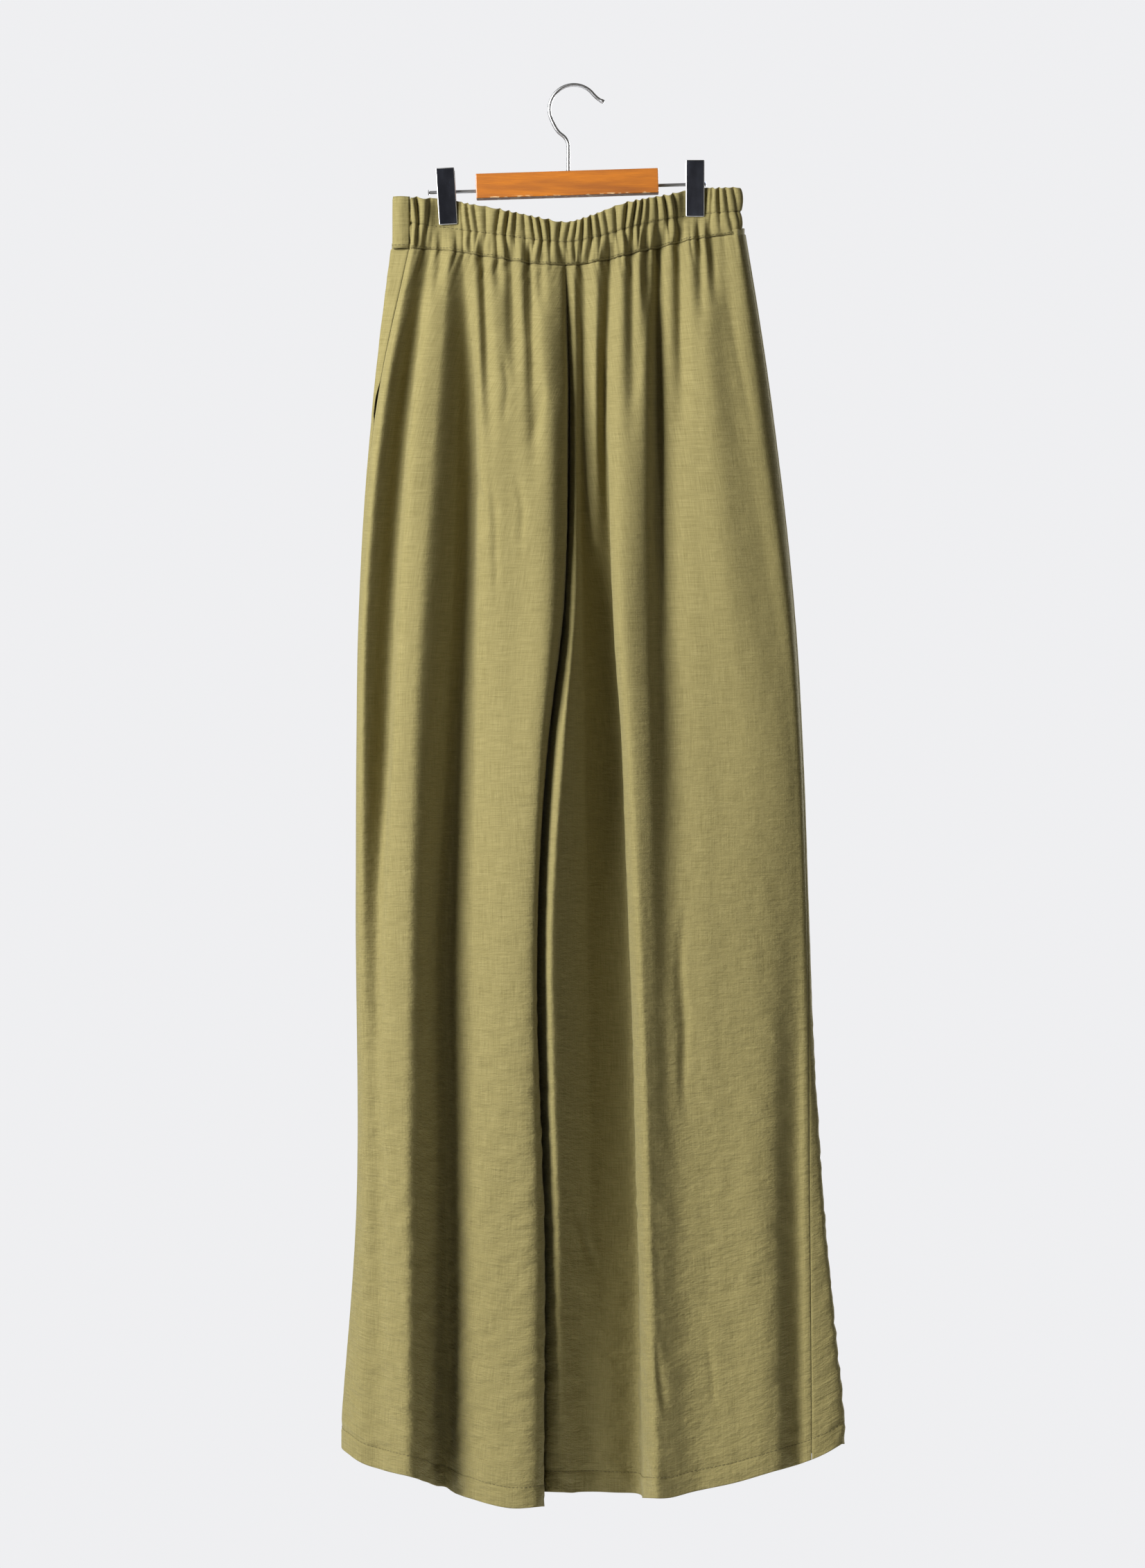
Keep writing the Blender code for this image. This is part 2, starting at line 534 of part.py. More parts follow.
def add_bar(material, collection, cutters):
    """The wood bar, bored for the shank and the two rods."""
    shape = bmesh.new()
    bmesh.ops.create_cube(shape, size=1.0)
    for vert in shape.verts:
        vert.co = Vector(size * part * MM for size, part in zip(BAR_SIZE, vert.co))
    mesh = bpy.data.meshes.new("bar")
    shape.to_mesh(mesh)
    shape.free()
    bar = add_object("bar", mesh, material, collection)
    bar.location = Vector(BAR_CENTRE) * MM
    bar.rotation_euler = (0, -HANGER_TILT, 0)
    edge = bar.modifiers.new("edges", "BEVEL")
    edge.width = BAR_EDGE * MM
    edge.segments = 2
    bar_top = BAR_CENTRE[2] + BAR_SIZE[2] / 2
    shank = (HOOK_BEND[-1][0], 0.0, bar_top)
    depth = 2 * (SHANK_IN_BAR + BORE_PLAY)
    cut(bar, cylinder_cutter("shank_bore", shank, (0, 0, 1), WIRE_RADIUS + BORE_PLAY, depth, cutters))
    for side, name in ((-1, "rod_bore_left"), (1, "rod_bore_right")):
        mouth = on_hanger(side * BAR_SIZE[0] / 2, 0, -ROD_DROP)
        axis = on_hanger(1, 0, 0) - on_hanger(0, 0, 0)
        depth = 2 * (ROD_IN_BAR + BORE_PLAY)
        cut(bar, cylinder_cutter(name, mouth, axis, ROD_RADIUS + BORE_PLAY, depth, cutters))
    return bar


def add_rod(name, side, material, collection):
    """A rod from inside the bar's end to its head, turned from one profile."""
    inner = side * (BAR_SIZE[0] / 2 - ROD_IN_BAR)
    outer = ROD_ENDS[0 if side < 0 else 1] - BAR_CENTRE[0]
    length = abs(outer - inner)
    profile = ((0, length), (HEAD_RADIUS, length), (HEAD_RADIUS, length - HEAD_LENGTH),
               (ROD_RADIUS, length - HEAD_LENGTH), (ROD_RADIUS, 0), (0, 0))
    mesh = bpy.data.meshes.new(name)
    points = [(radius * MM, 0, along * MM) for radius, along in profile]
    mesh.from_pydata(points, [(i, i + 1) for i in range(len(points) - 1)], [])
    rod = add_object(name, mesh, material, collection)
    turned = rod.modifiers.new("turned", "SCREW")
    turned.steps = 12
    turned.render_steps = 12
    turned.use_merge_vertices = True
    turned.merge_threshold = 0.00001
    axis = (on_hanger(side, 0, 0) - on_hanger(0, 0, 0)).normalized()
    turn = Vector((0, 0, 1)).rotation_difference(axis).to_matrix().to_4x4()
    start = on_hanger(inner, 0, -ROD_DROP)
    rod.matrix_world = Matrix.Translation(start * MM) @ turn
    return rod


def clip_outline():
    """The clip seen from its side, as (y, z): two plates joined by a web around the rod."""
    top, low = CLIP_ABOVE, -CLIP_BELOW
    front_top, back_top = -CLIP_TOP_SPREAD, CLIP_TOP_SPREAD
    front_low, back_low = CLIP_FRONT_JAW - CLIP_PLATE, CLIP_BACK_JAW + CLIP_PLATE

    def inner(outer_top, outer_low, inward, height):
        part = (top - height) / (top - low)
        return outer_top + (outer_low - outer_top) * part + inward * CLIP_PLATE

    front_web = [(inner(front_top, front_low, 1, h), h) for h in (-CLIP_WEB, CLIP_WEB)]
    back_web = [(inner(back_top, back_low, -1, h), h) for h in (CLIP_WEB, -CLIP_WEB)]
    return ([(front_top, top), (front_low, low), (CLIP_FRONT_JAW, low)] + front_web
            + [(front_top + CLIP_PLATE, top)], back_web
            + [(CLIP_BACK_JAW, low), (back_low, low), (back_top, top), (back_top - CLIP_PLATE, top)])


def add_clip(name, place, lean, material, collection, cutters):
    """A plate clip, leaning by an angle about the rod."""
    front, back = clip_outline()
    outline = front[:4] + back[1:] + back[:1] + front[4:]
    shape = bmesh.new()
    ring = [shape.verts.new((-CLIP_WIDTH / 2 * MM, y * MM, z * MM)) for y, z in outline]
    face = shape.faces.new(ring)
    pushed = bmesh.ops.extrude_face_region(shape, geom=[face])
    moved = [item for item in pushed["geom"] if isinstance(item, bmesh.types.BMVert)]
    bmesh.ops.translate(shape, verts=moved, vec=(CLIP_WIDTH * MM, 0, 0))
    bmesh.ops.recalc_face_normals(shape, faces=shape.faces[:])
    mesh = bpy.data.meshes.new(name)
    shape.to_mesh(mesh)
    shape.free()
    clip = add_object(name, mesh, material, collection)
    centre = on_hanger(place - BAR_CENTRE[0], 0, -ROD_DROP)
    clip.location = centre * MM
    clip.rotation_euler = (0, lean, 0)
    axis = on_hanger(1, 0, 0) - on_hanger(0, 0, 0)
    bore = cylinder_cutter(name + "_bore", centre, axis, ROD_RADIUS + BORE_PLAY, CLIP_WIDTH + 8, cutters)
    cut(clip, bore)
    return clip


# ---- the whole part ----------------------------------------------------------------------
def add_legs(material, collection):
    """The four leg panels; returns their grids by name."""
    rows = rows_down(LEG_ROWS, ROW_BIAS)
    plans = (
        ("back_left", -1, BACK_LEFT, FRONT_LEFT, False, GATHERS_LEFT, HEM_LEFT, False, BACK_SPACING),
        ("back_right", 1, BACK_RIGHT, FRONT_RIGHT, False, GATHERS_RIGHT, HEM_RIGHT, False, BACK_SPACING),
        ("front_left", 1, FRONT_LEFT, BACK_LEFT, True, (), HEM_LEFT, True, FRONT_SPACING),
        ("front_right", -1, FRONT_RIGHT, BACK_RIGHT, True, (), HEM_RIGHT, False, FRONT_SPACING),
    )
    grids = {}
    for name, side, table, partner, is_front, gathers, hem, gapes, spacing in plans:
        grid = panel_grid(table, partner, is_front, gathers, hem, gapes, spacing, rows)
        cloth_wall(name, grid, CLOTH, side, material, collection)
        grids[name] = grid
    return grids


def main():
    for thing in list(bpy.data.objects):
        bpy.data.objects.remove(thing)
    trousers = bpy.data.collections.new("flared_trousers_on_clip_hanger")
    cutters = bpy.data.collections.new("cutters")
    bpy.context.scene.collection.children.link(trousers)
    bpy.context.scene.collection.children.link(cutters)
    cloth = new_material("cloth", OLIVE, 0.85, 0.0)
    wood = new_material("wood", WOOD, 0.45, 0.0)
    chrome = new_material("chrome", CHROME, 0.12, 1.0)

    grids = add_legs(cloth, trousers)
    for name, panel, side in (("pocket_left", "front_left", 1), ("pocket_right", "front_right", -1)):
        cloth_wall(name, bag_grid(grids[panel], side), BAG_CLOTH, side, cloth, trousers)
    upper_edges = [grids["back_left"][-1], grids["back_right"][-1]]
    add_object("waistband_back", wall_mesh(*band_back_grids(upper_edges)), cloth, trousers)
    cloth_wall("waistband_front", band_front_grid(), BAND_CLOTH, 1, cloth, trousers)

    add_bar(wood, trousers, cutters)
    tube("hook", hook_path(), WIRE_RADIUS, chrome, trousers)
    add_rod("rod_left", -1, chrome, trousers)
    add_rod("rod_right", 1, chrome, trousers)
    for name, place, lean in zip(("clip_left", "clip_right"), CLIP_PLACES, CLIP_LEAN):
        add_clip(name, place, lean, chrome, trousers, cutters)


main()
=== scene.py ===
"""Looks for flared trousers that hang, back to the front, from a clip hanger.

The legs and waistband are fine shells of cloth close to their solids, with the creases, puckers
and stitching that the plain solids leave out. The wire, the rods and the clips are finer pieces
too, and the bar keeps its solid. Tables and sizes are in millimetres, in the frame of the model:
+Z up, -Y to the viewer, origin at the highest point inside the hook.
"""

import math

import bmesh
import bpy
import numpy as np
from mathutils import Matrix, Vector, noise

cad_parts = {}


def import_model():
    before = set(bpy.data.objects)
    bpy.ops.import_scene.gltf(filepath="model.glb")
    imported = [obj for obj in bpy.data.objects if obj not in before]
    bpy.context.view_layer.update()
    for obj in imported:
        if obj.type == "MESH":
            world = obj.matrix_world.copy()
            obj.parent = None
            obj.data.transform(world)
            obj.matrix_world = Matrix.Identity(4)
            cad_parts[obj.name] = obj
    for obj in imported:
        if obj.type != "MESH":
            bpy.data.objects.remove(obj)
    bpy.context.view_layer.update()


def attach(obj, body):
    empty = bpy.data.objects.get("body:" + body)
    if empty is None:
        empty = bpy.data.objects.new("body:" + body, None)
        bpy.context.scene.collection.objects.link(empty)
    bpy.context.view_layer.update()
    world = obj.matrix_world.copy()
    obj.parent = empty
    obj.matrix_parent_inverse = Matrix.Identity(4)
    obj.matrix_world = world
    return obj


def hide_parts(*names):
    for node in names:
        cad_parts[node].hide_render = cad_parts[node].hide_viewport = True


MM = 0.001

# ---- view ----
VIEW_DISTANCE = 3200.0  # camera to the hanger's plane
VIEW_LEVEL = 553.6  # camera below the hook
VIEW_PLACE = -0.6  # camera beside the hook
VIEW_WIDTH = 908.6  # width of the frame at the hanger's plane
SENSOR = 36.0

# ---- folds of the cloth ----
SEAM_GAP = 0.3  # between the pieces at a seam
WAIST_LEVEL = 132.0  # nominal depth of the waist seam below the hook
HEM_LEVEL = 1100.0  # nominal depth of the hem below the hook
CROTCH_LEVEL = 429.0  # depth of the lowest point of the rise seams

# Each fold runs from waist to hem. Its places (x) and its depths (y, less is nearer the
# viewer) are given at these levels below the hook: waist, hip, crotch, thigh, knee, calf, hem.
LEVELS = (132, 239, 425, 525, 646, 910, 1075)

# Rows go from the side seam to the inner seam, as (fold, places, depths).
BACK_LEFT = (
    ("side_seam", (-130.4, -154, -170.5, -172.2, -172.7, -172.7, -183.7), (-7, -8, 0, 1, 1, 1, 1)),
    ("side_ridge", (-127.6, -149, -165.6, -167.2, -166.7, -163.4, -169), (-9, -16, -20, -20, -20, -22, -24)),
    ("side_trough", (-115.5, -130, -145, -149, -155, -153, -153), (-2, -2, -3, -6, -16, -27, -31)),
    ("outer_shoulder", (-106, -123, -134, -141, -146, -146, -144), (-8, -16, -23, -27, -31, -36, -40)),
    ("outer_crest", (-98.5, -108, -124, -129, -131.5, -134, -134), (-9, -18, -27, -32, -37, -44, -48)),
    ("deep_trough", (-87.5, -81, -83.6, -90, -97, -98, -99), (-6, 3, 9, 9, 8, 9, 10)),
    ("inner_rise", (-78.7, -74, -71, -72, -77, -80, -82), (-8, -13, -14, -15, -16, -19, -21)),
    ("inner_flat", (-55, -50.6, -45.7, -49, -53.4, -52.3, -54.5), (-10, -18, -25, -28, -31, -34, -38)),
    ("inner_crest", (-17.6, -15, -16, -24, -30, -28, -29), (-10, -21, -30, -33, -34, -35, -38)),
    ("inner_rim", (-8.8, -7.7, -11, -20.4, -27.5, -23.4, -24), (-7, -14, -22, -24, -24, -25, -26)),
    ("inner_seam", (-6.1, -3.3, -9.4, -21.5, -30.8, -22.8, -23.4), (-4, 4, 9, -2, -6, -8, -8)),
)
BACK_RIGHT = (
    ("side_seam", (136, 154.6, 176, 181.5, 185.4, 187.8, 189), (0, -1, -1, -2, -5, -12, -14)),
    ("side_ridge", (130.4, 147, 171, 178.8, 182.6, 184, 184.6), (-8, -12, -13, -11, -9, -12, -13)),
    ("side_trough", (117, 128.7, 159.5, 172, 177, 178.4, 179), (-5, -13, -16, -14, -11, -8, -8)),
    ("panel_brow", (102, 107, 130, 145, 154, 160, 163), (-10, -17, -20, -18, -17, -20, -22)),
    ("panel_rise", (91, 95, 99, 106, 109, 120, 128), (-9, -13, -13, -13, -15, -18, -20)),
    ("shallow_trough", (68.8, 68, 69, 71, 72, 82, 92), (-4, -5, -6, -9, -13, -17, -18)),
    ("centre_shoulder", (53, 57, 58, 60, 61, 68, 75), (-10, -16, -19, -21, -22, -24, -25)),
    ("centre_crest", (39, 36, 38, 45, 52, 62, 67), (-10, -16, -22, -24, -25, -27, -28)),
    ("centre_step", (33.6, 29, 32.4, 38.6, 43.6, 53, 57), (-6, -8, -10, -10, -10, -10, -9)),
    ("centre_trough", (29.7, 25, 32, 37.5, 42, 50, 50), (-2, 2, 15, 20, 21, 21, 19)),
    ("slope_foot", (19, 18, 20.4, 22, 21, 25, 29), (-9, -6, 11, 13, 11, 10, 12)),
    ("slit_trough", (6.6, 7.2, 9, 3, -3, 0, 4), (-3, 3, -1, -12, -18, -12, 4)),
    ("slit_crest", (0.6, 1.1, -1, -9, -17, -12.5, -12), (-7, -4, -19, -30, -34, -25, -12)),
    ("inner_rim", (-3.9, -1.7, -5.8, -16, -24, -20, -20.5), (-5, -1, -12, -18, -19, -12, -9)),
    ("inner_seam", (-6.0, -3.2, -9.3, -20.9, -30.6, -23.8, -24.4), (-4, 4, 9, 2, 1, 0, 0)),
)
# The front panels take their side seam and inner seam from the back panels, so they have none.
FRONT_LEFT = (
    ("side_roll", (-145, -158, -170.5, -172, -172.7, -172.7, -184), (0, 0, 8, 8, 8, 8, 8)),
    ("outer_crest", (-136, -146, -155, -155, -154, -153.5, -164.5), (6, 14, 21, 23, 25, 27, 29)),
    ("outer_trough", (-113, -115, -121, -122.7, -122.7, -124, -130), (6, 13, 14, 14, 15, 16, 17)),
    ("middle_crest", (-85, -87.5, -90, -92, -92, -92, -94.6), (7, 17, 26, 28, 30, 33, 36)),
    ("inner_trough", (-61.6, -63, -63, -64, -63, -61, -61), (9, 17, 17, 18, 18, 19, 20)),
    ("inner_crest", (-34, -36, -37, -43.5, -45.7, -42.4, -42.4), (11, 19, 26, 27, 28, 30, 32)),
    ("inner_rim", (-12, -12, -10.8, -22.4, -31.8, -23.8, -24.4), (11, 19, 18, 5, 0, -1, -1)),
)
FRONT_RIGHT = (
    ("side_roll", (137, 155, 176.6, 183, 187, 197, 213), (5, 8, 8, 7, 2, -10, -11)),
    ("outer_crest", (129, 142, 161, 168, 172, 183, 197), (6, 14, 20, 22, 24, 24, 27)),
    ("outer_trough", (106, 112, 128, 134, 136.4, 150, 158), (6, 13, 15, 15, 15, 15, 16)),
    ("middle_crest", (77.6, 80, 92, 98, 102, 112, 117), (7, 17, 26, 28, 30, 33, 36)),
    ("inner_trough", (59.4, 61, 66.6, 70, 73, 80, 84), (9, 17, 18, 18, 18, 19, 20)),
    ("inner_crest", (29, 31.4, 37.4, 43, 47, 54, 59), (11, 20, 28, 30, 32, 34, 35)),
    ("slit_trough", (12.7, 13.8, 13.8, 12.7, 9.4, 12.7, 16), (11, 18, 20, 20, 19, 20, 21)),
    ("slit_crest", (7.6, 8, 2.6, -2.8, -11.6, -8.2, -6.6), (11, 19, 24, 24, 22, 22, 22)),
    ("inner_rim", (2.4, 3.2, -8.2, -22, -31.8, -25.6, -26.2), (11, 18.5, 17, 12, 9, 9, 9)),
)

# Short gathers under the waist seam: (place, depth, run down the panel, half width).
GATHERS_LEFT = (
    (-104.5, 5.0, 45, 3.5),
    (-72.0, 6.5, 190, 3.5),
    (-60.5, 3.5, 30, 3.0),
    (-49.5, 5.0, 140, 4.0),
    (-35.0, 7.0, 210, 4.0),
    (-26.4, 4.0, 45, 3.0),
)
GATHERS_RIGHT = (
    (46.0, 6.5, 170, 4.0),
    (57.5, 5.5, 60, 3.0),
    (67.5, 9.0, 300, 4.0),
    (84.0, 7.0, 170, 4.0),
    (100.0, 4.5, 80, 3.5),
    (109.0, 4.0, 60, 3.0),
)
RISE_DEPTH = 14.0  # how far the centre front lies behind the centre back at the waist
RISE_LEAN = 2.8  # and how far it lies to the right of it
RISE_CURVE = 180.0  # height over which the rise seams part above the crotch
MOUTH_TOP = 232.0  # the left pocket's mouth gapes from here
MOUTH_END = 268.0  # to here
MOUTH_OPENS = 18.0  # height over which it opens
MOUTH_CLOSES = 8.0  # and closes
MOUTH_GAPE = 4.5

# ---- edges: (x, z) seen from the viewer's side ----
TOP_EDGE = ((-146, -86.9), (-127, -87.5), (-103, -89.7), (-64, -96.3), (-26, -104.5), (-4, -107.8),
            (13, -103), (40, -93), (68, -87), (101, -81), (130, -79.8))
STITCH_LINE = ((-146, -107.8), (-127, -109), (-103, -112), (-64, -117.7), (-26, -123), (-4, -124.3),
               (18, -120.5), (51, -111), (95, -102.3), (132, -99.6))
WAIST_SEAM = ((-146, -129.2), (-103, -130.4), (-64, -136.4), (-26, -141.9), (5, -141.9),
              (32, -137), (64, -129), (95, -122), (137, -117))
HEM_LEFT = ((-185, -1080), (-169, -1092), (-151, -1098), (-121, -1106), (-95, -1116), (-68, -1125),
            (-49, -1128.6), (-23, -1127))
HEM_RIGHT = ((-23, -1115.4), (17, -1117), (57, -1120.4), (76, -1120.4), (93, -1116), (131, -1107.7),
             (157, -1100), (181, -1093), (199, -1085.7), (213, -1077.5))
WAIST_FADE = 170.0  # the slope of the waist seam is lost over this height
HEM_FADE = 500.0  # and the hem's shape starts this far above it

# ---- waistband: plans as (x, y) ----
BAND_LINE = ((-129, -6.5), (-120, -5.5), (-109, -2.7), (-100.5, -2.6), (-92, -2.7), (-80, -6), (-60, -9),
             (0, -11), (60, -9), (77, -6), (88, -2.7), (96.5, -2.6), (105, -2.7), (114, -5.5),
             (124, -6.4), (130, -5.4), (131.8, -3.2), (131.8, -1.4))
FRONT_LINE = ((-129.3, -6.6), (-137, -7.6), (-143.4, -3), (-140, 2.6), (-122, 4.6), (-109, 2.2), (-92, 2.2),
              (-60, 8), (0, 11), (60, 8), (88, 2.2), (105, 2.2), (116, 4.6), (127, 5), (131, 3.4),
              (131.7, 1.2), (131.8, -1.05))
GATHER_PITCH = 6.8  # of the waves along the elastic channel
GATHER_DEPTH = 3.0  # height of the outer waves either side of the band's mean line
PUCKER_DEPTH = 2.1  # height of the puckers along the channel's lower stitching
CLIP_PLACES = (-100.7, 96.5)
CLIP_HOLD = 9.0  # half width held flat by a clip
CLIP_CREASE = 0.04  # part of the waves left under it
SIDE_TURN = 124.0  # the band turns round the right side from here on
CHANNEL_ROWS = 22  # rows of points over the elastic channel
SKIRT_ROWS = 13  # and below it, down to the waist seam
FLAT_ROWS = 16  # rows of the front band
SEAM_ROW = 1  # the waist seam's stitching lies on this row of either band
FLAT_STEP = 0.8  # the front band's top lies this far below the back band's

# ---- hanger ----
HANGER_TILT = math.radians(1.8)
BAR_CENTRE = (-4.8, 0.0, -77.6)
BAR_SIZE = (144.6, 14.0, 19.5)
WIRE_RADIUS = 1.4
HOOK_RADIUS = 18.1  # inside the arc
HOOK_CENTRE = (0.5, -18.1)
HOOK_START = 37.0  # degrees, where the arc leaves the tip
HOOK_END = 212.0  # where it runs into the bend above the shank
HOOK_STEP = 7.0
HOOK_TIP = ((24.4, -12.4), (20.6, -10.4))
HOOK_BEND = ((-11.6, -36.2), (-6.6, -40.6), (-4.2, -45.0), (-3.9, -50.0), (-3.9, -60.0))
HOOK_RINGS = 160
WIRE_SIDES = 20
TURNED_SIDES = 24
SHANK_IN_BAR = 9.0
ROD_RADIUS = 1.3
ROD_DROP = 3.2  # below the bar's centre line
ROD_IN_BAR = 14.0
ROD_ENDS = (-115.3, 105.5)
HEAD_RADIUS = 2.1
HEAD_LENGTH = 1.0
NECK_RADIUS = 1.8  # where the head starts
TIP_BEAD = 0.35  # how far the bead at the hook's tip stands out
FERRULE_PLAY = 0.05  # between the shank and the ring round it
CLIP_WIDTH = 14.6
CLIP_ABOVE = 18.2  # plate above the rod
CLIP_BELOW = 26.2  # plate below the rod
CLIP_PLATE = 1.2
CLIP_TOP_SPREAD = 8.4  # from the rod's axis to a plate's outer face
CLIP_FRONT_JAW = -3.3  # inner faces of the two plates at the jaw
CLIP_BACK_JAW = 2.6
CLIP_BEVEL = 1.15  # width of the bright border round a plate
WEB_SIZE = (9.6, 9.6, 6.0)  # block around the rod, between the plates
WEB_BEVEL = 0.6
CLIP_LEAN = (math.radians(-3.4), 0.0)


# ---- small tools ----
def smooth(low, high, value):
    """0 below low, 1 above high and an even S between them."""
    part = np.clip((np.asarray(value, float) - low) / (high - low), 0.0, 1.0)
    return part * part * (3.0 - 2.0 * part)


def spline(knots, values, at):
    """The smooth curve through values at rising knots, read at the given places."""
    knots = np.asarray(knots, float)
    values = np.asarray(values, float)
    at = np.clip(np.asarray(at, float), knots[0], knots[-1])
    steps = np.diff(knots)
    shape = (-1,) + (1,) * (values.ndim - 1)
    secants = np.diff(values, axis=0) / steps.reshape(shape)
    before = steps[:-1].reshape(shape)
    after = steps[1:].reshape(shape)
    inner = (secants[:-1] * after + secants[1:] * before) / (before + after)
    slopes = np.concatenate([secants[:1], inner, secants[-1:]])
    index = np.clip(np.searchsorted(knots, at, side="right") - 1, 0, len(steps) - 1)
    span = steps[index].reshape(shape)
    part = ((at - knots[index]) / steps[index]).reshape(shape)
    rise = part * part * (3.0 - 2.0 * part)
    start_pull = part * (1.0 - part) ** 2 * span
    end_pull = part * part * (part - 1.0) * span
    return (values[index] * (1.0 - rise) + values[index + 1] * rise
            + slopes[index] * start_pull + slopes[index + 1] * end_pull)


def line_height(line, x):
    """Height of a drawn edge at x."""
    places, heights = zip(*line)
    return spline(places, heights, x)


def chords(points):
    """Running length along a row of points."""
    steps = np.linalg.norm(np.diff(points, axis=0), axis=1)
    return np.concatenate([[0.0], np.cumsum(steps)])


def seen_from_front(points):
    """Draw points nearer than the hanger's plane in towards the line of sight."""
    nearness = 1.0 + np.minimum(points[..., 1], 0.0) / VIEW_DISTANCE
    placed = points.copy()
    placed[..., 0] = points[..., 0] * nearness
    placed[..., 2] = -VIEW_LEVEL + (points[..., 2] + VIEW_LEVEL) * nearness
    return placed


# ---- finer form of the cloth ----
SPACING = 2.3  # between the points across a panel
ROW_STEP = 4.4  # between its rows
WALL = 0.6  # thickness of the cloth
HEM_STITCH = 16.5  # the hem's stitching lies this far above the edge
HEM_STEP = 0.25  # the cloth below it stands this far out
STITCH_PULL = 0.35  # and the stitching presses it in by this
SEAM_TURN = 5.0  # height of the turning inside the waist seam
TURN_INSET = 0.9  # it lies this far in
TURN_ROWS = 2
SEAM_ROLL = 1.6  # an edge rolls in over this width
ROLL_DEPTH = 0.35
EDGE_CALM = 14.0  # creases and unevenness fade out over this width along an edge
WAIST_PUCKER = 0.9  # height of the fine puckers under the waist seam
PUCKER_RUN = 34.0  # and how far they run down
STITCH = 2.6  # length of a stitch
STITCH_STEP = 3.3
STITCH_LIFT = 0.12  # of the thread's middle above the cloth
THREAD = 0.22  # radius of the thread
# A stitch's rings: part of its length, part of the thread's radius, rise.
STITCH_FORM = ((0.0, 0.35, 0.0), (0.3, 1.0, 0.22), (0.7, 1.0, 0.22), (1.0, 0.35, 0.0))
STITCH_SIDES = 6
WEAVE_APART = 400.0  # between the panels' places in the weave
BAND_WEAVE = 900.0  # the front band's place in it

BAG_PLAY = 0.45  # between the bag and the panel it follows
BAG_REACH = 78.0  # width of a bag along the front panel
BAG_INSET = 8.0  # its first edge lies this far from the side seam
BAG_TOP = 172.0
BAG_FOOT = 360.0

# Unevenness of the cloth: its height, and its size along and down the cloth.
SPOTS = (1.1, 34.0, 150.0)
RIPPLES = (0.28, 11.0, 46.0)
CRUMPLE_SIZE = (18.0, 8.5)
CRUMPLE_SLANT = 0.35
CRUMPLES_HIGH = 0.26  # height of the crumples at the waist
CRUMPLES_MORE = 1.15  # and how much higher they are near the hem

# Creases pressed into a back panel, as (depth, half width, (x, z) points down its length).
CREASES_LEFT = (
    (-1.6, 6.0, ((-168, -712), (-158, -745), (-153, -763), (-152, -824), (-149, -860))),
    (1.9, 2.8, ((-78, -300), (-73, -330), (-71, -366))),
    (1.8, 2.8, ((-66, -300), (-62, -345), (-61, -415))),
    (2.2, 3.0, ((-24, -225), (-27, -255), (-34, -290))),
    (1.8, 2.4, ((-46, -305), (-40, -335), (-42, -372))),
    (1.5, 2.6, ((-56, -205), (-52, -240), (-57, -275))),
    (-1.2, 5.0, ((-145, -190), (-150, -240), (-155, -262))),
    (1.0, 3.0, ((-128, -148), (-134, -168), (-141, -195))),
)
CREASES_RIGHT = (
    (2.6, 3.4, ((93, -637), (86, -672), (84.5, -701), (88.5, -745), (87, -789), (90, -831))),
    (2.6, 2.6, ((2, -880), (9, -912), (18, -945))),
    (1.7, 3.0, ((64, -985), (70, -1030), (74, -1062))),
    (1.5, 2.6, ((104, -985), (110, -1020), (112, -1056))),
    (1.3, 3.5, ((57, -170), (52, -215), (46, -262))),
    (1.6, 4.0, ((62, -300), (70, -380), (76, -450))),
    (-1.4, 5.0, ((74, -690), (80, -760), (83, -840))),
    (1.0, 3.0, ((120, -150), (131, -215), (146, -290))),
)

# And into the front panels, which hang more smoothly.
CREASES_FRONT_LEFT = (
    (1.4, 4.5, ((-118, -160), (-122, -220), (-121, -300))),
    (1.2, 3.5, ((-58, -170), (-62, -260), (-66, -340))),
    (-1.2, 6.0, ((-90, -420), (-96, -520), (-93, -640))),
    (1.3, 3.0, ((-30, -380), (-48, -440), (-70, -485))),
    (1.5, 4.0, ((-140, -700), (-128, -790), (-132, -880))),
    (1.1, 3.0, ((-80, -820), (-70, -900), (-74, -960))),
)
CREASES_FRONT_RIGHT = (
    (1.5, 4.5, ((112, -155), (118, -230), (122, -330))),
    (1.2, 3.5, ((62, -170), (66, -250), (64, -350))),
    (1.4, 3.0, ((12, -385), (36, -440), (66, -480))),
    (-1.3, 6.0, ((96, -500), (104, -610), (101, -720))),
    (1.6, 4.0, ((150, -690), (138, -780), (146, -890))),
    (1.2, 3.0, ((70, -780), (82, -860), (80, -950))),
    (1.0, 2.5, ((178, -900), (170, -960), (176, -1020))),
)

# ---- colours, linear ----
OLIVE_FACE = (0.224, 0.190, 0.072)
OLIVE_DARK = (0.140, 0.116, 0.038)
OLIVE_SLUB = (0.300, 0.258, 0.108)
THREAD_COLOUR = (0.105, 0.092, 0.036)
WOOD_FACE = (0.52, 0.168, 0.018)
WOOD_GRAIN = (0.30, 0.090, 0.012)
WOOD_BARE = (0.80, 0.560, 0.300)
CHROME_FACE = (0.66, 0.67, 0.69)
CHROME_RUBBED = (0.50, 0.51, 0.53)
# Painted reflection on the clips' faces: dark blue for a mirrored dark room, paler in clouds.
PAINTED_REFLECTION_DARK = (0.28, 0.34, 0.58)
PAINTED_REFLECTION_PALE = (0.52, 0.62, 0.98)
FLOOR_TONES = ((0.78, 0.79, 0.81), (0.82, 0.83, 0.85))
WALL_PALE = (0.862, 0.864, 0.880)  # seen by the camera
ROOM_DIM = (0.058, 0.050, 0.036)  # light from the room in front
ROOM_WALL = (0.30, 0.305, 0.32)  # and from the wall behind

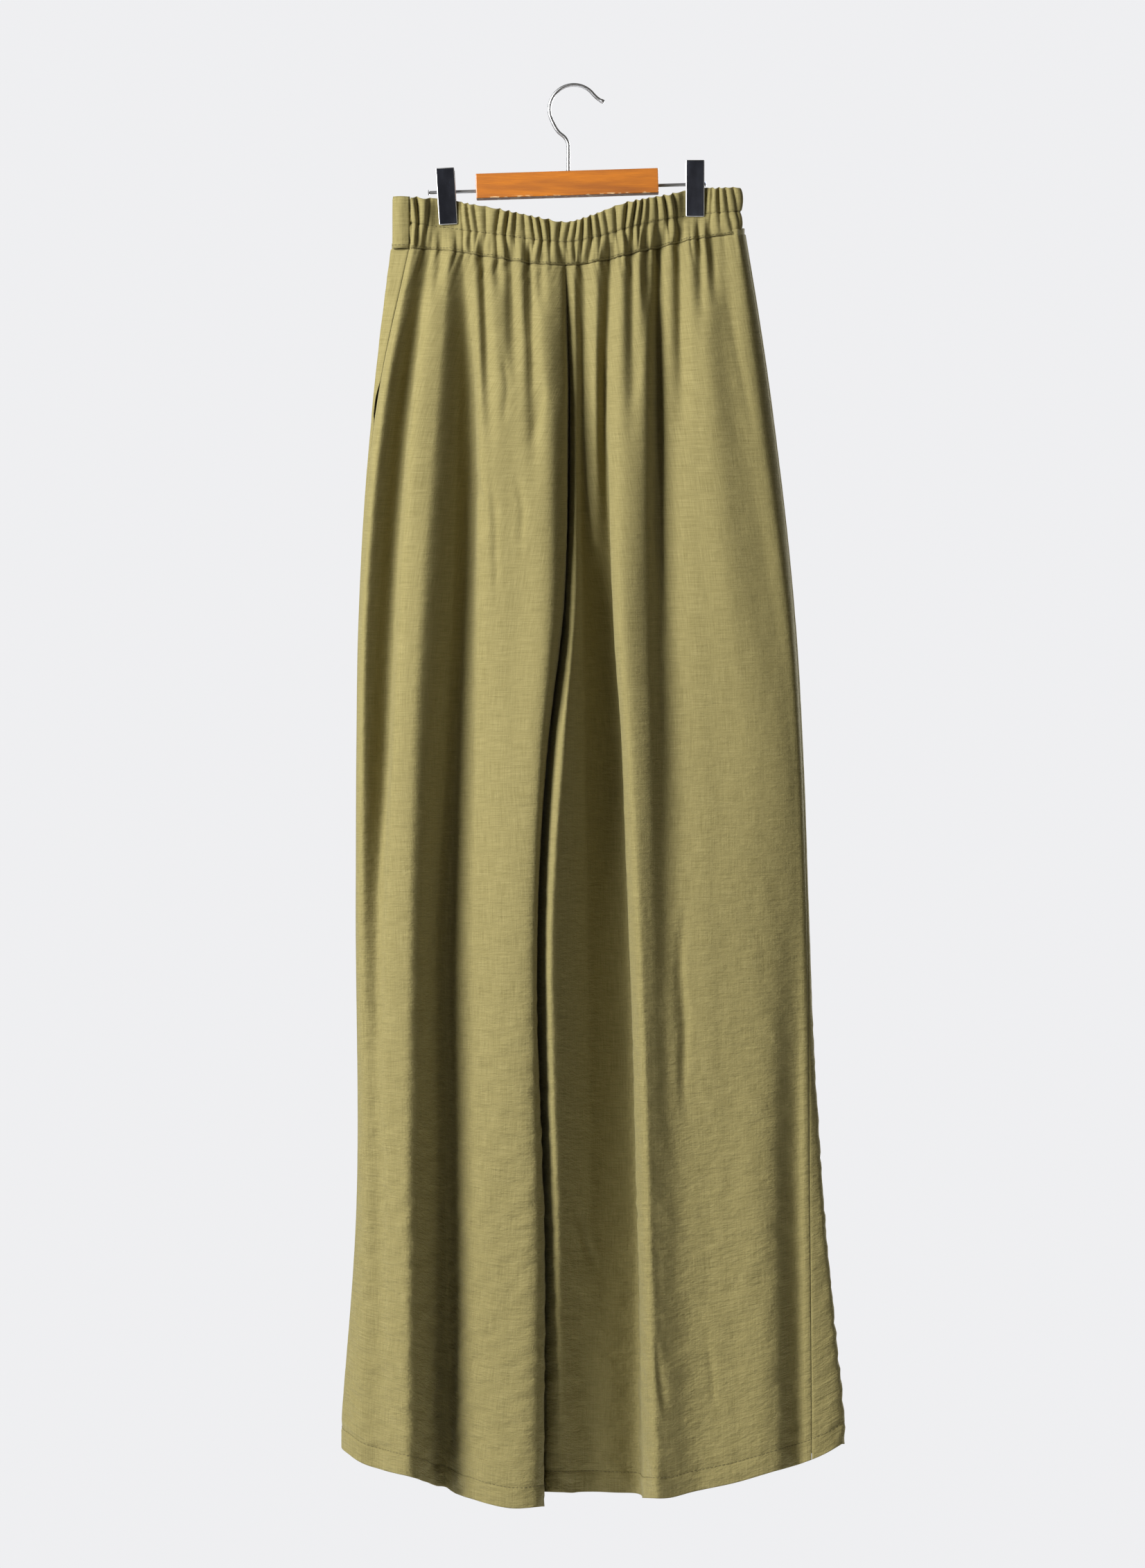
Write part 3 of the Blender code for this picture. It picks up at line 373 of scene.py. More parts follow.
# ---- light and floor ----
# Lights: name, azimuth from the viewer's side, elevation, distance in metres, size and power.
LIGHTS = (
    ("key", -52, 24, 2.4, (1.1, 1.5), 124.0),
    ("edge", 58, 8, 2.2, (0.16, 1.5), 3.0),
    ("far_side", 142, 14, 2.6, (1.2, 1.6), 62.0),
)
ROOM_SPREAD = (-0.05, 0.95)  # the room turns into the wall between these
FLOOR_LEVEL = 1500.0
FLOOR_HALF = 1150.0


# ---- leg panels ----
def panel_rows():
    """Levels from hem to waist, with rows on both sides of the hem's stitching."""
    count = int((HEM_LEVEL - WAIST_LEVEL) / ROW_STEP)
    even = np.linspace(WAIST_LEVEL, HEM_LEVEL, count + 1)
    near_waist = WAIST_LEVEL + np.array([1.2, 2.6])
    near_hem = HEM_LEVEL - HEM_STITCH + np.array([-1.4, 0.0, 1.4])
    return np.unique(np.concatenate([even, near_waist, near_hem, [HEM_LEVEL - 1.0]]))[::-1]


def fold_rows(table, levels):
    """Each fold's (x, y) at every level."""
    places = np.array([row[1] for row in table], float).T
    depths = np.array([row[2] for row in table], float).T
    return np.stack([spline(LEVELS, places, levels), spline(LEVELS, depths, levels)], axis=2)


def side_gap(levels, gapes):
    """Gap along the side seam, wider where the pocket's mouth stands open."""
    opening = smooth(MOUTH_TOP, MOUTH_TOP + MOUTH_OPENS, levels)
    closing = smooth(MOUTH_END - MOUTH_CLOSES, MOUTH_END, levels)
    return SEAM_GAP + (MOUTH_GAPE if gapes else 0.0) * opening * (1 - closing)


def front_fold_rows(front, back, levels, gapes):
    """A front panel's folds with its two seams, which follow the back panel's."""
    folds = fold_rows(front, levels)
    partner = fold_rows(back, levels)
    towards = folds[:, 0] - partner[:, 0]
    towards /= np.linalg.norm(towards, axis=1, keepdims=True)
    side = partner[:, 0] + side_gap(levels, gapes)[:, None] * towards
    rise = smooth(CROTCH_LEVEL, CROTCH_LEVEL - RISE_CURVE, levels)
    inner = partner[:, -1] + np.column_stack([RISE_LEAN * rise, SEAM_GAP + RISE_DEPTH * rise])
    return np.concatenate([side[:, None], folds, inner[:, None]], axis=1)


def across(folds, ghost, counts):
    """Points along the cloth through the folds; ghost is the next fold past the side seam."""
    path = np.vstack([ghost, folds])
    knots = chords(path)
    places = [np.linspace(knots[i + 1], knots[i + 2], n, endpoint=False) for i, n in enumerate(counts)]
    places = np.concatenate(places + [knots[-1:]])
    return spline(knots, path, places), places - knots[1]


def press_gathers(points, waist_x, here_x, gathers, level):
    """Press the short gathers into a row of points below the waist."""
    below = level - WAIST_LEVEL
    order = np.argsort(waist_x)
    for place, depth, run, half_width in gathers:
        centre = np.interp(place, waist_x[order], here_x[order])
        fade = 1.0 - float(smooth(0.35 * run, run, below))
        shift = (points[:, 0] - centre) / (half_width * (1.0 + 0.6 * below / run))
        points[:, 1] += depth * fade * np.exp(-shift ** 2)


def settle_heights(x, level, hem):
    """Height of a point: level in the middle, on the drawn lines at waist seam and hem."""
    waist_part = 1.0 - smooth(WAIST_LEVEL, WAIST_LEVEL + WAIST_FADE, level)
    hem_part = smooth(HEM_LEVEL - HEM_FADE, HEM_LEVEL, level)
    waist_shift = line_height(WAIST_SEAM, x) + WAIST_LEVEL - 0.5 * SEAM_GAP
    return -level + waist_part * waist_shift + hem_part * (line_height(hem, x) + HEM_LEVEL)


def crease_depth(x, z, creases):
    """How far the creases press each point in."""
    total = np.zeros_like(x)
    for depth, half_width, points in creases:
        places, heights = (np.array(values, float) for values in zip(*points))
        centre = np.interp(z, heights[::-1], places[::-1])
        low, high = heights[-1], heights[0]
        taper = 0.35 * (high - low)
        ends = smooth(low, low + taper, z) * (1 - smooth(high - taper, high, z))
        total += depth * ends * np.exp(-((x - centre) / half_width) ** 2)
    return total


def soft_noise(first, second, seed):
    """Smooth noise at each pair of places."""
    return np.array([noise.noise(Vector((a, b, seed))) for a, b in zip(first, second)])


def unevenness(run, level, seed):
    """Slow, shallow waves over the cloth, long along its hang."""
    s, v = run.ravel(), level.ravel()
    spots = soft_noise(s / SPOTS[1], v / SPOTS[2], seed)
    ripples = soft_noise(s / RIPPLES[1], v / RIPPLES[2], seed + 9)
    crumples = soft_noise(s / CRUMPLE_SIZE[0], (v + CRUMPLE_SLANT * s) / CRUMPLE_SIZE[1], seed + 17)
    near_hem = smooth(CROTCH_LEVEL + 150, HEM_LEVEL - 120, v)
    total = SPOTS[0] * spots + RIPPLES[0] * ripples + (CRUMPLES_HIGH + CRUMPLES_MORE * near_hem) * crumples
    return total.reshape(run.shape)


def waist_puckers(run, level):
    """Fine puckers where a panel is gathered into the waistband."""
    below = level - WAIST_LEVEL
    fade = (1 - smooth(0.0, PUCKER_RUN, below)) ** 1.5
    return WAIST_PUCKER * fade * gather_waves(run)[0]


def inward_normals(grid, side):
    """Unit normals at a grid's points; side is 1 where its lines and rises turn inwards, else -1."""
    lines = np.gradient(grid, axis=1)
    rises = np.gradient(grid, axis=0)
    normals = np.cross(lines, rises) * side
    return normals / np.linalg.norm(normals, axis=2, keepdims=True)


def leg_panel(table, partner, is_front, side, gathers, creases, hem, gapes, seed):
    """A leg panel's outer points, row by row from hem to waist, and its weave places.

    Each row runs from the side seam to the inner seam, and the last rows are the turning.
    """
    levels = panel_rows()
    folds = front_fold_rows(table, partner, levels, gapes) if is_front else fold_rows(table, levels)
    ghosts = fold_rows(partner, levels)[:, 1 if is_front else 0]
    lengths = np.linalg.norm(np.diff(folds, axis=1), axis=2)
    counts = np.maximum(2, np.ceil(lengths.max(axis=0) / SPACING)).astype(int)
    waist_x = folds[-1, :, 0]
    rows, runs = [], []
    for level, fold, ghost in zip(levels, folds, ghosts):
        row, run = across(fold, ghost, counts)
        press_gathers(row, waist_x, fold[:, 0], gathers, level)
        rows.append(row)
        runs.append(run)
    plan = np.array(rows)
    runs = np.array(runs)
    level = np.repeat(levels[:, None], plan.shape[1], axis=1)
    z = np.array([settle_heights(row[:, 0], at, hem) for row, at in zip(plan, levels)])
    grid = np.dstack([plan, z])
    to_edge = np.minimum(runs, runs[:, -1:] - runs)
    free = smooth(0.0, EDGE_CALM, to_edge)
    pressed = free * (unevenness(runs, level, seed) + (0 if is_front else waist_puckers(runs, level)))
    pressed += free * crease_depth(plan[..., 0], z, creases)
    outer_edge = np.minimum(runs, 2 * SEAM_ROLL + runs[:, -1:] - runs)
    rolled = 1 - smooth(0.0, SEAM_ROLL, outer_edge)
    pressed += ROLL_DEPTH * rolled * smooth(WAIST_LEVEL + 6, WAIST_LEVEL + 30, level)
    above_hem = HEM_LEVEL - level
    stitched = np.exp(-((above_hem - HEM_STITCH) / 1.6) ** 2)
    in_hem = 1 - smooth(HEM_STITCH - 2, HEM_STITCH, above_hem)
    pressed += stitched * (STITCH_PULL + 0.2 * np.sin(runs / 2.1)) - HEM_STEP * in_hem
    grid = grid + pressed[..., None] * inward_normals(grid, side)
    weave = np.dstack([runs + WEAVE_APART * seed, -level])
    inward = inward_normals(grid, side)[-1]
    turning = [grid[-1] + TURN_INSET * inward + np.array([0.0, 0.0, up]) for up in (0.3, SEAM_TURN)]
    grid = np.concatenate([grid, turning])
    weave = np.concatenate([weave, weave[-1:], weave[-1:] + np.array([0.0, SEAM_TURN])])
    return seen_from_front(grid), weave


# ---- waistband ----
def along_band(line, spacing):
    """Points (x, y) along a band's plan through all its corners, and their distances."""
    path = np.array(line, float)
    knots = chords(path)
    counts = np.maximum(1, np.round(np.diff(knots) / spacing)).astype(int)
    places = [np.linspace(a, b, n, endpoint=False) for a, b, n in zip(knots, knots[1:], counts)]
    places = np.concatenate(places + [knots[-1:]])
    return spline(knots, path, places), places


def held_loose(x):
    """1 where the band hangs free, near 0 under a clip."""
    loose = np.ones_like(x)
    for place in CLIP_PLACES:
        loose *= smooth(CLIP_HOLD - 1.0, CLIP_HOLD + 9.0, np.abs(x - place))
    return CLIP_CREASE + (1 - CLIP_CREASE) * loose


def gather_waves(distance):
    """Uneven waves along the elastic channel, round above and sharp below, and wider puckers."""
    drift = 1.5 * np.sin(distance / 23.0) + 0.9 * np.sin(distance / 9.7 + 1.0)
    drift = drift + 0.4 * np.sin(distance / 4.1)
    turn = 2 * math.pi * distance / GATHER_PITCH + drift
    waves = 1.0 - 2.0 * np.abs(np.sin(0.5 * turn - 0.25 * math.pi)) ** 0.8
    waves = waves * (0.72 + 0.28 * np.sin(distance / 5.3))
    wide = 1.0 - 2.0 * np.abs(np.sin(0.25 * turn + 0.6 + 0.5 * np.sin(distance / 17.0)))
    return waves, 0.35 * waves + 1.1 * wide


def edge_depth(edge_rows, x):
    """Depth of the leg panels' upper edges at x, so that the band meets them."""
    edge = np.vstack(edge_rows)
    edge = edge[np.argsort(edge[:, 0])]
    return np.interp(x, edge[:, 0], edge[:, 1])


def back_band(panel_edges):
    """The gathered band's outer points from the waist seam to its top, and its weave places."""
    plan, distance = along_band(BAND_LINE, GATHER_PITCH / 11)
    x = plan[:, 0]
    way = np.gradient(plan, axis=0)
    inward = np.column_stack([-way[:, 1], way[:, 0]]) / np.linalg.norm(way, axis=1, keepdims=True)
    loose = held_loose(x)
    top = line_height(TOP_EDGE, x)
    stitch = line_height(STITCH_LINE, x)
    seam = line_height(WAIST_SEAM, x) + 0.5 * SEAM_GAP
    on_edge = plan.copy()
    on_edge[:, 1] = edge_depth(panel_edges, x)
    on_edge = plan + (1 - smooth(SIDE_TURN, BAND_LINE[-1][0], x))[:, None] * (on_edge - plan)
    outer = []
    for part in np.linspace(0.0, 1.0, SKIRT_ROWS):
        lean = 3.0 * np.sin(distance / 7.1) * (1 - part)
        waves, puckers = gather_waves(distance + lean)
        wave = PUCKER_DEPTH * (part * waves + (1 - part) * puckers) * (1 - (1 - part) ** 4)
        wave = wave + 0.9 * part ** 6 - 0.7 * math.sin(math.pi * part)
        line = (1 - part) * on_edge + part * plan
        line = line + inward * (loose * wave)[:, None]
        outer.append(np.column_stack([line, seam + (stitch - seam) * part]))
    for part in np.linspace(0.0, 1.0, CHANNEL_ROWS)[1:]:
        lean = 3.2 * np.sin(distance / 8.3 + 2.0) * part
        waves = gather_waves(distance + lean)[0]
        swell = PUCKER_DEPTH + (GATHER_DEPTH - PUCKER_DEPTH) * math.sin(math.pi * min(part * 1.3, 1) / 2)
        height = swell * (1 - 0.25 * part ** 6)
        puff = 1.3 * math.sin(math.pi * part) ** 0.7
        line = plan + inward * (loose * height * waves - puff * loose)[:, None]
        rim = (0.9 - 1.1 * waves) * loose * part ** 6
        outer.append(np.column_stack([line, stitch + (top - stitch) * part - rim]))
    grid = np.array(outer)
    weave = np.dstack([np.repeat(1.5 * distance[None], len(grid), axis=0), grid[..., 2]])
    return grid, weave


def front_band():
    """The flat band, round the left side, along the front and round the right side."""
    plan, distance = along_band(FRONT_LINE, 2.0)
    x = plan[:, 0]
    top = line_height(TOP_EDGE, x) - FLAT_STEP
    seam = line_height(WAIST_SEAM, x) + 0.5 * SEAM_GAP
    parts = np.linspace(0.0, 1.0, FLAT_ROWS)
    grid = np.array([np.column_stack([plan, seam + (top - seam) * part]) for part in parts])
    bulge = np.array([[0.35 * noise.noise(Vector((d / 16.0, 3 * p, 4.0))) for d in distance] for p in parts])
    soft_edge = 0.5 * (1 - smooth(0.0, 0.06, parts)) + 0.5 * smooth(0.94, 1.0, parts)
    grid = grid + (bulge + soft_edge[:, None])[..., None] * inward_normals(grid, 1)
    weave = np.dstack([np.repeat(distance[None] + BAND_WEAVE, len(parts), axis=0), grid[..., 2]])
    return grid, weave


# ---- meshes ----
def shell_mesh(name, outer, inner, weave, side):
    """A closed shell between two sheets of points, with its weave places as a UV map in metres."""
    rows, columns = outer.shape[:2]
    count = rows * columns
    points = np.concatenate([outer.reshape(-1, 3), inner.reshape(-1, 3)]) * MM
    index = np.arange(count).reshape(rows, columns)
    quads = np.stack([index[:-1, :-1], index[:-1, 1:], index[1:, 1:], index[1:, :-1]], axis=-1)
    quads = quads.reshape(-1, 4)
    edge = np.concatenate([index[0], index[1:, -1], index[-1, -2::-1], index[-2:0:-1, 0]])
    after = np.roll(edge, -1)
    rim = np.stack([after, edge, edge + count, after + count], axis=-1)
    faces = np.concatenate([quads, quads[:, ::-1] + count, rim])
    if side > 0:
        faces = faces[:, ::-1]
    mesh = bpy.data.meshes.new(name)
    mesh.from_pydata(points.tolist(), [], faces.tolist())
    mesh.polygons.foreach_set("use_smooth", np.arange(len(faces)) < 2 * len(quads))
    places = np.concatenate([weave.reshape(-1, 2)] * 2) * MM
    layer = mesh.uv_layers.new(name="weave")
    layer.data.foreach_set("uv", places[faces.ravel()].ravel())
    mesh.update()
    return mesh


def add_object(name, data):
    """Put an object into the scene."""
    thing = bpy.data.objects.new(name, data)
    bpy.context.scene.collection.objects.link(thing)
    return thing


def add_piece(name, data, material, nodes=()):
    """Put a piece into the scene, riding on the body."""
    data.materials.append(material)
    piece = add_object(name, data)
    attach(piece, "root")
    if nodes:
        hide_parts(*nodes)
    return piece


def cloth_piece(name, grid, weave, side, material, nodes):
    """A shell of cloth inwards from a grid of outer points."""
    inner = grid + WALL * inward_normals(grid, side)
    mesh = shell_mesh(name, grid, inner, weave, side)
    return add_piece(name, mesh, material, nodes)


def mesh_from(shape, name):
    """The finished mesh of a shape."""
    mesh = bpy.data.meshes.new(name)
    shape.to_mesh(mesh)
    shape.free()
    return mesh


def around(steps):
    """Cosine and sine of even steps round a circle."""
    return [(math.cos(2 * math.pi * k / steps), math.sin(2 * math.pi * k / steps)) for k in range(steps)]


def skin(shape, places, is_loop=False):
    """Faces between rings of places, closed at both ends unless the last ring meets the first."""
    rings = [[shape.verts.new(place * MM) for place in ring] for ring in places]
    for low, high in zip(rings, rings[1:] + (rings[:1] if is_loop else [])):
        for k in range(len(low)):
            after = (k + 1) % len(low)
            shape.faces.new((low[k], low[after], high[after], high[k]))
    if not is_loop:
        shape.faces.new(rings[0][::-1])
        shape.faces.new(rings[-1])


def read_along(run, values, at):
    """Values given along a run, read at one place."""
    return np.array([np.interp(at, run, column) for column in values.T])


def stitched_line(name, grid, row, side, material):
    """A row of stitches lying on one row of a cloth's grid."""
    outward = -inward_normals(grid, side)[row]
    points = grid[row] + STITCH_LIFT * outward
    run = chords(points)
    shape = bmesh.new()
    for start in np.arange(1.0, run[-1] - STITCH, STITCH_STEP):
        rings = []
        for part, size, rise in STITCH_FORM:
            at = start + STITCH * part
            place = read_along(run, points, at)
            up = read_along(run, outward, at)
            way = read_along(run, points, at + 0.5) - place
            beside = np.cross(way / max(np.linalg.norm(way), 1e-6), up)
            radius = THREAD * size
            rings.append([Vector(place + up * (rise + radius * b) + beside * radius * a)
                          for a, b in around(STITCH_SIDES)])
        skin(shape, rings)
    mesh = mesh_from(shape, name)
    mesh.shade_smooth()
    add_piece(name, mesh, material)


# ---- hanger ----
def on_hanger(along, depth, up):
    """A place given along and above the bar's centre line, with the hanger's tilt."""
    turn = Matrix.Rotation(-HANGER_TILT, 3, "Y")
    return Vector(BAR_CENTRE) + turn @ Vector((along, depth, up))


def round_piece(name, places, is_loop, sharp, material, nodes):
    """A plated piece with a smooth skin over rings of places, sharp above an angle in degrees."""
    shape = bmesh.new()
    skin(shape, places, is_loop)
    bmesh.ops.recalc_face_normals(shape, faces=shape.faces[:])
    mesh = mesh_from(shape, name)
    mesh.shade_smooth()
    mesh.set_sharp_from_angle(angle=math.radians(sharp))
    add_piece(name, mesh, material, nodes)


def wire_piece(name, points, radii, material, nodes):
    """A round wire through points in the hanger's plane."""
    rings = []
    for (x, z), (dx, dz), radius in zip(points, np.gradient(np.array(points), axis=0), radii):
        across_way = Vector((dz, 0.0, -dx)).normalized()
        rings.append([Vector((x, 0, z)) + across_way * radius * a + Vector((0, radius * b, 0))
                      for a, b in around(WIRE_SIDES)])
    round_piece(name, rings, False, 50, material, nodes)


def add_hook(material):
    """The bent wire, with its tip thickened by a little bead."""
    reach = WIRE_RADIUS + HOOK_RADIUS
    arc = [(HOOK_CENTRE[0] + reach * math.cos(angle), HOOK_CENTRE[1] + reach * math.sin(angle))
           for angle in np.radians(np.arange(HOOK_START, HOOK_END, HOOK_STEP))]
    bar_top = BAR_CENTRE[2] + BAR_SIZE[2] / 2
    corners = np.array(list(HOOK_TIP) + arc + list(HOOK_BEND) + [(HOOK_BEND[-1][0], bar_top - SHANK_IN_BAR)])
    knots = chords(corners)
    run = spline(knots, corners, np.linspace(0, knots[-1], HOOK_RINGS))
    radii = np.full(len(run), WIRE_RADIUS)
    radii[:5] = WIRE_RADIUS + TIP_BEAD * np.array([0.2, 0.8, 1.0, 0.8, 0.3])
    wire_piece("hook_wire", run, radii, material, ("hook",))
    turned_piece("hook_ferrule", (HOOK_BEND[-1][0], 0, bar_top), (0, 0, 1),
                 ((0.0, 2.6), (0.5, 2.6), (0.9, 2.2), (1.2, 1.5)), material,
                 hollow=WIRE_RADIUS + FERRULE_PLAY)


def turned_piece(name, foot, axis, profile, material, nodes=(), hollow=0.0):
    """A rod, or a ring if it is hollow, turned about an axis from a profile of (along, radius)."""
    turn = Vector((0, 0, 1)).rotation_difference(Vector(axis)).to_matrix()
    outline = list(profile)
    if hollow:
        outline += [(profile[-1][0], hollow), (profile[0][0], hollow)]
    rings = [[Vector(foot) + turn @ Vector((radius * a, radius * b, along)) for a, b in around(TURNED_SIDES)]
             for along, radius in outline]
    round_piece(name, rings, bool(hollow), 40, material, nodes)


def add_rods(material):
    """The two rods, each with a turned head at its outer end."""
    for side, name, end in zip((-1, 1), ("left", "right"), ROD_ENDS):
        inner = side * (BAR_SIZE[0] / 2 - ROD_IN_BAR)
        length = abs(end - BAR_CENTRE[0] - inner)
        axis = on_hanger(side, 0, 0) - on_hanger(0, 0, 0)
        neck = length - HEAD_LENGTH
        profile = ((0.0, ROD_RADIUS), (neck - 0.2, ROD_RADIUS), (neck, NECK_RADIUS),
                   (neck + 0.2, HEAD_RADIUS), (length - 0.3, HEAD_RADIUS), (length, HEAD_RADIUS - 0.4))
        foot = on_hanger(inner, 0, -ROD_DROP)
        turned_piece("rod_turned_" + name, foot, axis, profile, material, ("rod_" + name,))


def plate(shape, top, jaw, thickness):
    """One flat plate of a clip, from its top to its jaw, both given as (y, z)."""
    half = CLIP_WIDTH / 2
    skin(shape, [[Vector((x, y + dy, z))
                  for x, dy in ((-half, 0), (half, 0), (half, thickness), (-half, thickness))]
                 for y, z in (top, jaw)])


def bevel(piece, width, segments):
    """Cut a piece's edges back."""
    edge = piece.modifiers.new("edges", "BEVEL")
    edge.width = width * MM
    edge.segments = segments
    return edge


def add_clip(name, place, lean, material, face, node):
    """A clip: two plates with bright bevelled edges and faces with a painted dark reflection, joined by a
    web that the rod runs through.
    """
    shape = bmesh.new()
    jaw = CLIP_FRONT_JAW - CLIP_PLATE, -CLIP_BELOW
    plate(shape, (-CLIP_TOP_SPREAD, CLIP_ABOVE), jaw, CLIP_PLATE)
    jaw = CLIP_BACK_JAW + CLIP_PLATE, -CLIP_BELOW
    plate(shape, (CLIP_TOP_SPREAD, CLIP_ABOVE), jaw, -CLIP_PLATE)
    bmesh.ops.recalc_face_normals(shape, faces=shape.faces[:])
    mesh = mesh_from(shape, name)
    centre = on_hanger(place - BAR_CENTRE[0], 0, -ROD_DROP)
    to_place = Matrix.Translation(centre * MM) @ Matrix.Rotation(lean, 4, "Y")
    mesh.transform(to_place)
    clip = add_piece(name, mesh, material, (node,))
    mesh.materials.append(face)
    # The plates' flat faces take the painted reflection, and the edges take the chrome.
    for polygon in mesh.polygons:
        polygon.material_index = int(abs(polygon.normal.y) > 0.9)
    edge = bevel(clip, CLIP_BEVEL, 1)
    edge.material = 0
    edge.limit_method = "ANGLE"
    edge.angle_limit = math.radians(40)
    mesh.shade_smooth()
    weighted = clip.modifiers.new("flat_faces", "WEIGHTED_NORMAL")
    weighted.keep_sharp = True
    web = bmesh.new()
    bmesh.ops.create_cube(web, size=1.0)
    for vert in web.verts:
        vert.co = vert.co * Vector(WEB_SIZE) * MM
    web_mesh = mesh_from(web, name + "_web")
    web_mesh.transform(to_place)
    bevel(add_piece(name + "_web", web_mesh, material), WEB_BEVEL, 2)


# ---- materials ----
class Nodes:
    """The nodes of a material or world, made and linked by short calls."""

    def __init__(self, name, kind="materials"):
        self.owner = getattr(bpy.data, kind).new(name)
        self.owner.use_nodes = True
        self.tree = self.owner.node_tree
        self.shader = self.tree.nodes.get("Principled BSDF")

    def add(self, kind, **values):
        """A node with values for its inputs, or for its settings where no input has that name."""
        node = self.tree.nodes.new("ShaderNode" + kind)
        for key, value in values.items():
            if key in node.inputs:
                node.inputs[key].default_value = value
            else:
                setattr(node, key, value)
        return node

    def link(self, output, target):
        self.tree.links.new(output, target)

    def places(self, source, scale=(1.0, 1.0, 1.0)):
        """Texture places from UV or Object, scaled along each axis."""
        start = self.add("TexCoord")
        mapping = self.add("Mapping", Scale=scale)
        self.link(start.outputs[source], mapping.inputs["Vector"])
        return mapping.outputs[0]

    def axis(self, source, letter):
        """One axis of a texture place."""
        split = self.add("SeparateXYZ")
        self.link(self.add("TexCoord").outputs[source], split.inputs[0])
        return split.outputs[letter]

    def noise(self, places, scale, detail=3.0, roughness=0.55):
        texture = self.add("TexNoise", Scale=scale, Detail=detail, Roughness=roughness)
        self.link(places, texture.inputs["Vector"])
        return texture.outputs["Fac"]

    def ramp(self, value, low, high, first=0.0, last=1.0):
        """Stretch a value from low..high to first..last."""
        node = self.add("MapRange")
        for name, number in (("From Min", low), ("From Max", high), ("To Min", first), ("To Max", last)):
            node.inputs[name].default_value = number
        self.link(value, node.inputs["Value"])
        return node.outputs[0]

    def mix(self, part, first, last):
        """Mix two colours, each a colour or an output."""
        node = self.add("Mix", data_type="RGBA")
        self.link(part, node.inputs["Factor"])
        for key, value in (("A", first), ("B", last)):
            target = next(i for i in node.inputs if i.name == key and i.type == "RGBA")
            if isinstance(value, tuple):
                target.default_value = (*value, 1.0)
            else:
                self.link(value, target)
        return next(o for o in node.outputs if o.type == "RGBA")

    def math(self, operation, first, second):
        node = self.add("Math", operation=operation)
        for k, value in enumerate((first, second)):
            if isinstance(value, (int, float)):
                node.inputs[k].default_value = value
            else:
                self.link(value, node.inputs[k])
        return node.outputs[0]

    def bump(self, height, strength, distance):
        node = self.add("Bump", Strength=strength, Distance=distance)
        self.link(height, node.inputs["Height"])
        self.link(node.outputs[0], self.shader.inputs["Normal"])

    def colour(self, output):
        self.link(output, self.shader.inputs["Base Color"])

    def set(self, **values):
        for key, value in values.items():
            self.shader.inputs[key.replace("_", " ")].default_value = value


def cloth_material():
    """Slubby plain weave: warp and weft threads that thicken and darken here and there."""
    n = Nodes("olive_weave")
    warp = n.noise(n.places("UV", (1.0, 0.035, 1.0)), 1500.0, 2.0)
    weft = n.noise(n.places("UV", (0.035, 1.0, 1.0)), 1500.0, 2.0)
    slub = n.noise(n.places("UV", (0.10, 1.0, 1.0)), 420.0, 3.0)
    long_slub = n.noise(n.places("UV", (1.0, 0.06, 1.0)), 300.0, 2.0)
    cloudy = n.noise(n.places("UV", (1.0, 0.6, 1.0)), 14.0, 3.0)
    threads = n.math("ADD", n.math("MULTIPLY", warp, 0.5), n.math("MULTIPLY", weft, 0.5))
    face = n.mix(n.ramp(threads, 0.38, 0.62), OLIVE_DARK, OLIVE_SLUB)
    face = n.mix(n.ramp(slub, 0.30, 0.72, 0.75, 0.25), face, OLIVE_FACE)
    face = n.mix(n.ramp(long_slub, 0.62, 0.80, 0.0, 0.45), face, OLIVE_DARK)
    face = n.mix(n.ramp(cloudy, 0.35, 0.75, 0.0, 0.30), face, OLIVE_FACE)
    n.colour(face)
    n.set(Roughness=0.86, Sheen_Weight=0.22, Sheen_Roughness=0.45, Sheen_Tint=(0.72, 0.70, 0.48, 1.0),
          Specular_IOR_Level=0.25)
    crinkle = n.noise(n.places("UV", (0.42, 1.0, 1.0)), 170.0, 5.0, 0.65)
    near_hem = n.ramp(n.axis("UV", "Y"), -0.40, -1.05, 3.5, 13.0)
    weave = n.math("ADD", threads, n.math("MULTIPLY", slub, 0.6))
    n.bump(n.math("ADD", weave, n.math("MULTIPLY", crinkle, near_hem)), 0.60, 0.00040)
    return n.owner


def thread_material():
    """Darker sewing thread with a fine twist."""
    n = Nodes("olive_thread")
    twist = n.noise(n.places("Object"), 2500.0, 1.0)
    n.colour(n.mix(n.ramp(twist, 0.35, 0.65), THREAD_COLOUR, OLIVE_DARK))
    n.set(Roughness=0.7)
    return n.owner


def wood_material():
    """Varnished orange wood with flat grain, and bare chips along the lower front edge."""
    n = Nodes("varnished_wood")
    grain = n.noise(n.places("Object", (6.0, 60.0, 60.0)), 2.2, 5.0, 0.6)
    fine = n.noise(n.places("Object", (20.0, 400.0, 400.0)), 4.0, 3.0)
    face = n.mix(n.ramp(grain, 0.35, 0.68), WOOD_FACE, WOOD_GRAIN)
    face = n.mix(n.ramp(fine, 0.45, 0.75, 0.0, 0.5), face, WOOD_GRAIN)
    slope = n.math("MULTIPLY", n.axis("Object", "X"), math.tan(HANGER_TILT))
    low = (BAR_CENTRE[2] - BAR_SIZE[2] / 2) * MM
    height = n.math("SUBTRACT", n.math("SUBTRACT", n.axis("Object", "Z"), slope), low)
    ragged = n.noise(n.places("Object", (150.0, 150.0, 500.0)), 1.0, 3.0)
    worn = n.math("MULTIPLY", n.ramp(height, 0.0004, 0.0016, 1.0, 0.0), n.ramp(ragged, 0.53, 0.60))
    n.colour(n.mix(worn, face, WOOD_BARE))
    n.link(n.ramp(grain, 0.3, 0.7, 0.34, 0.46), n.shader.inputs["Roughness"])
    n.set(Coat_Weight=0.25, Coat_Roughness=0.25)
    n.bump(fine, 0.12, 0.0004)
    return n.owner


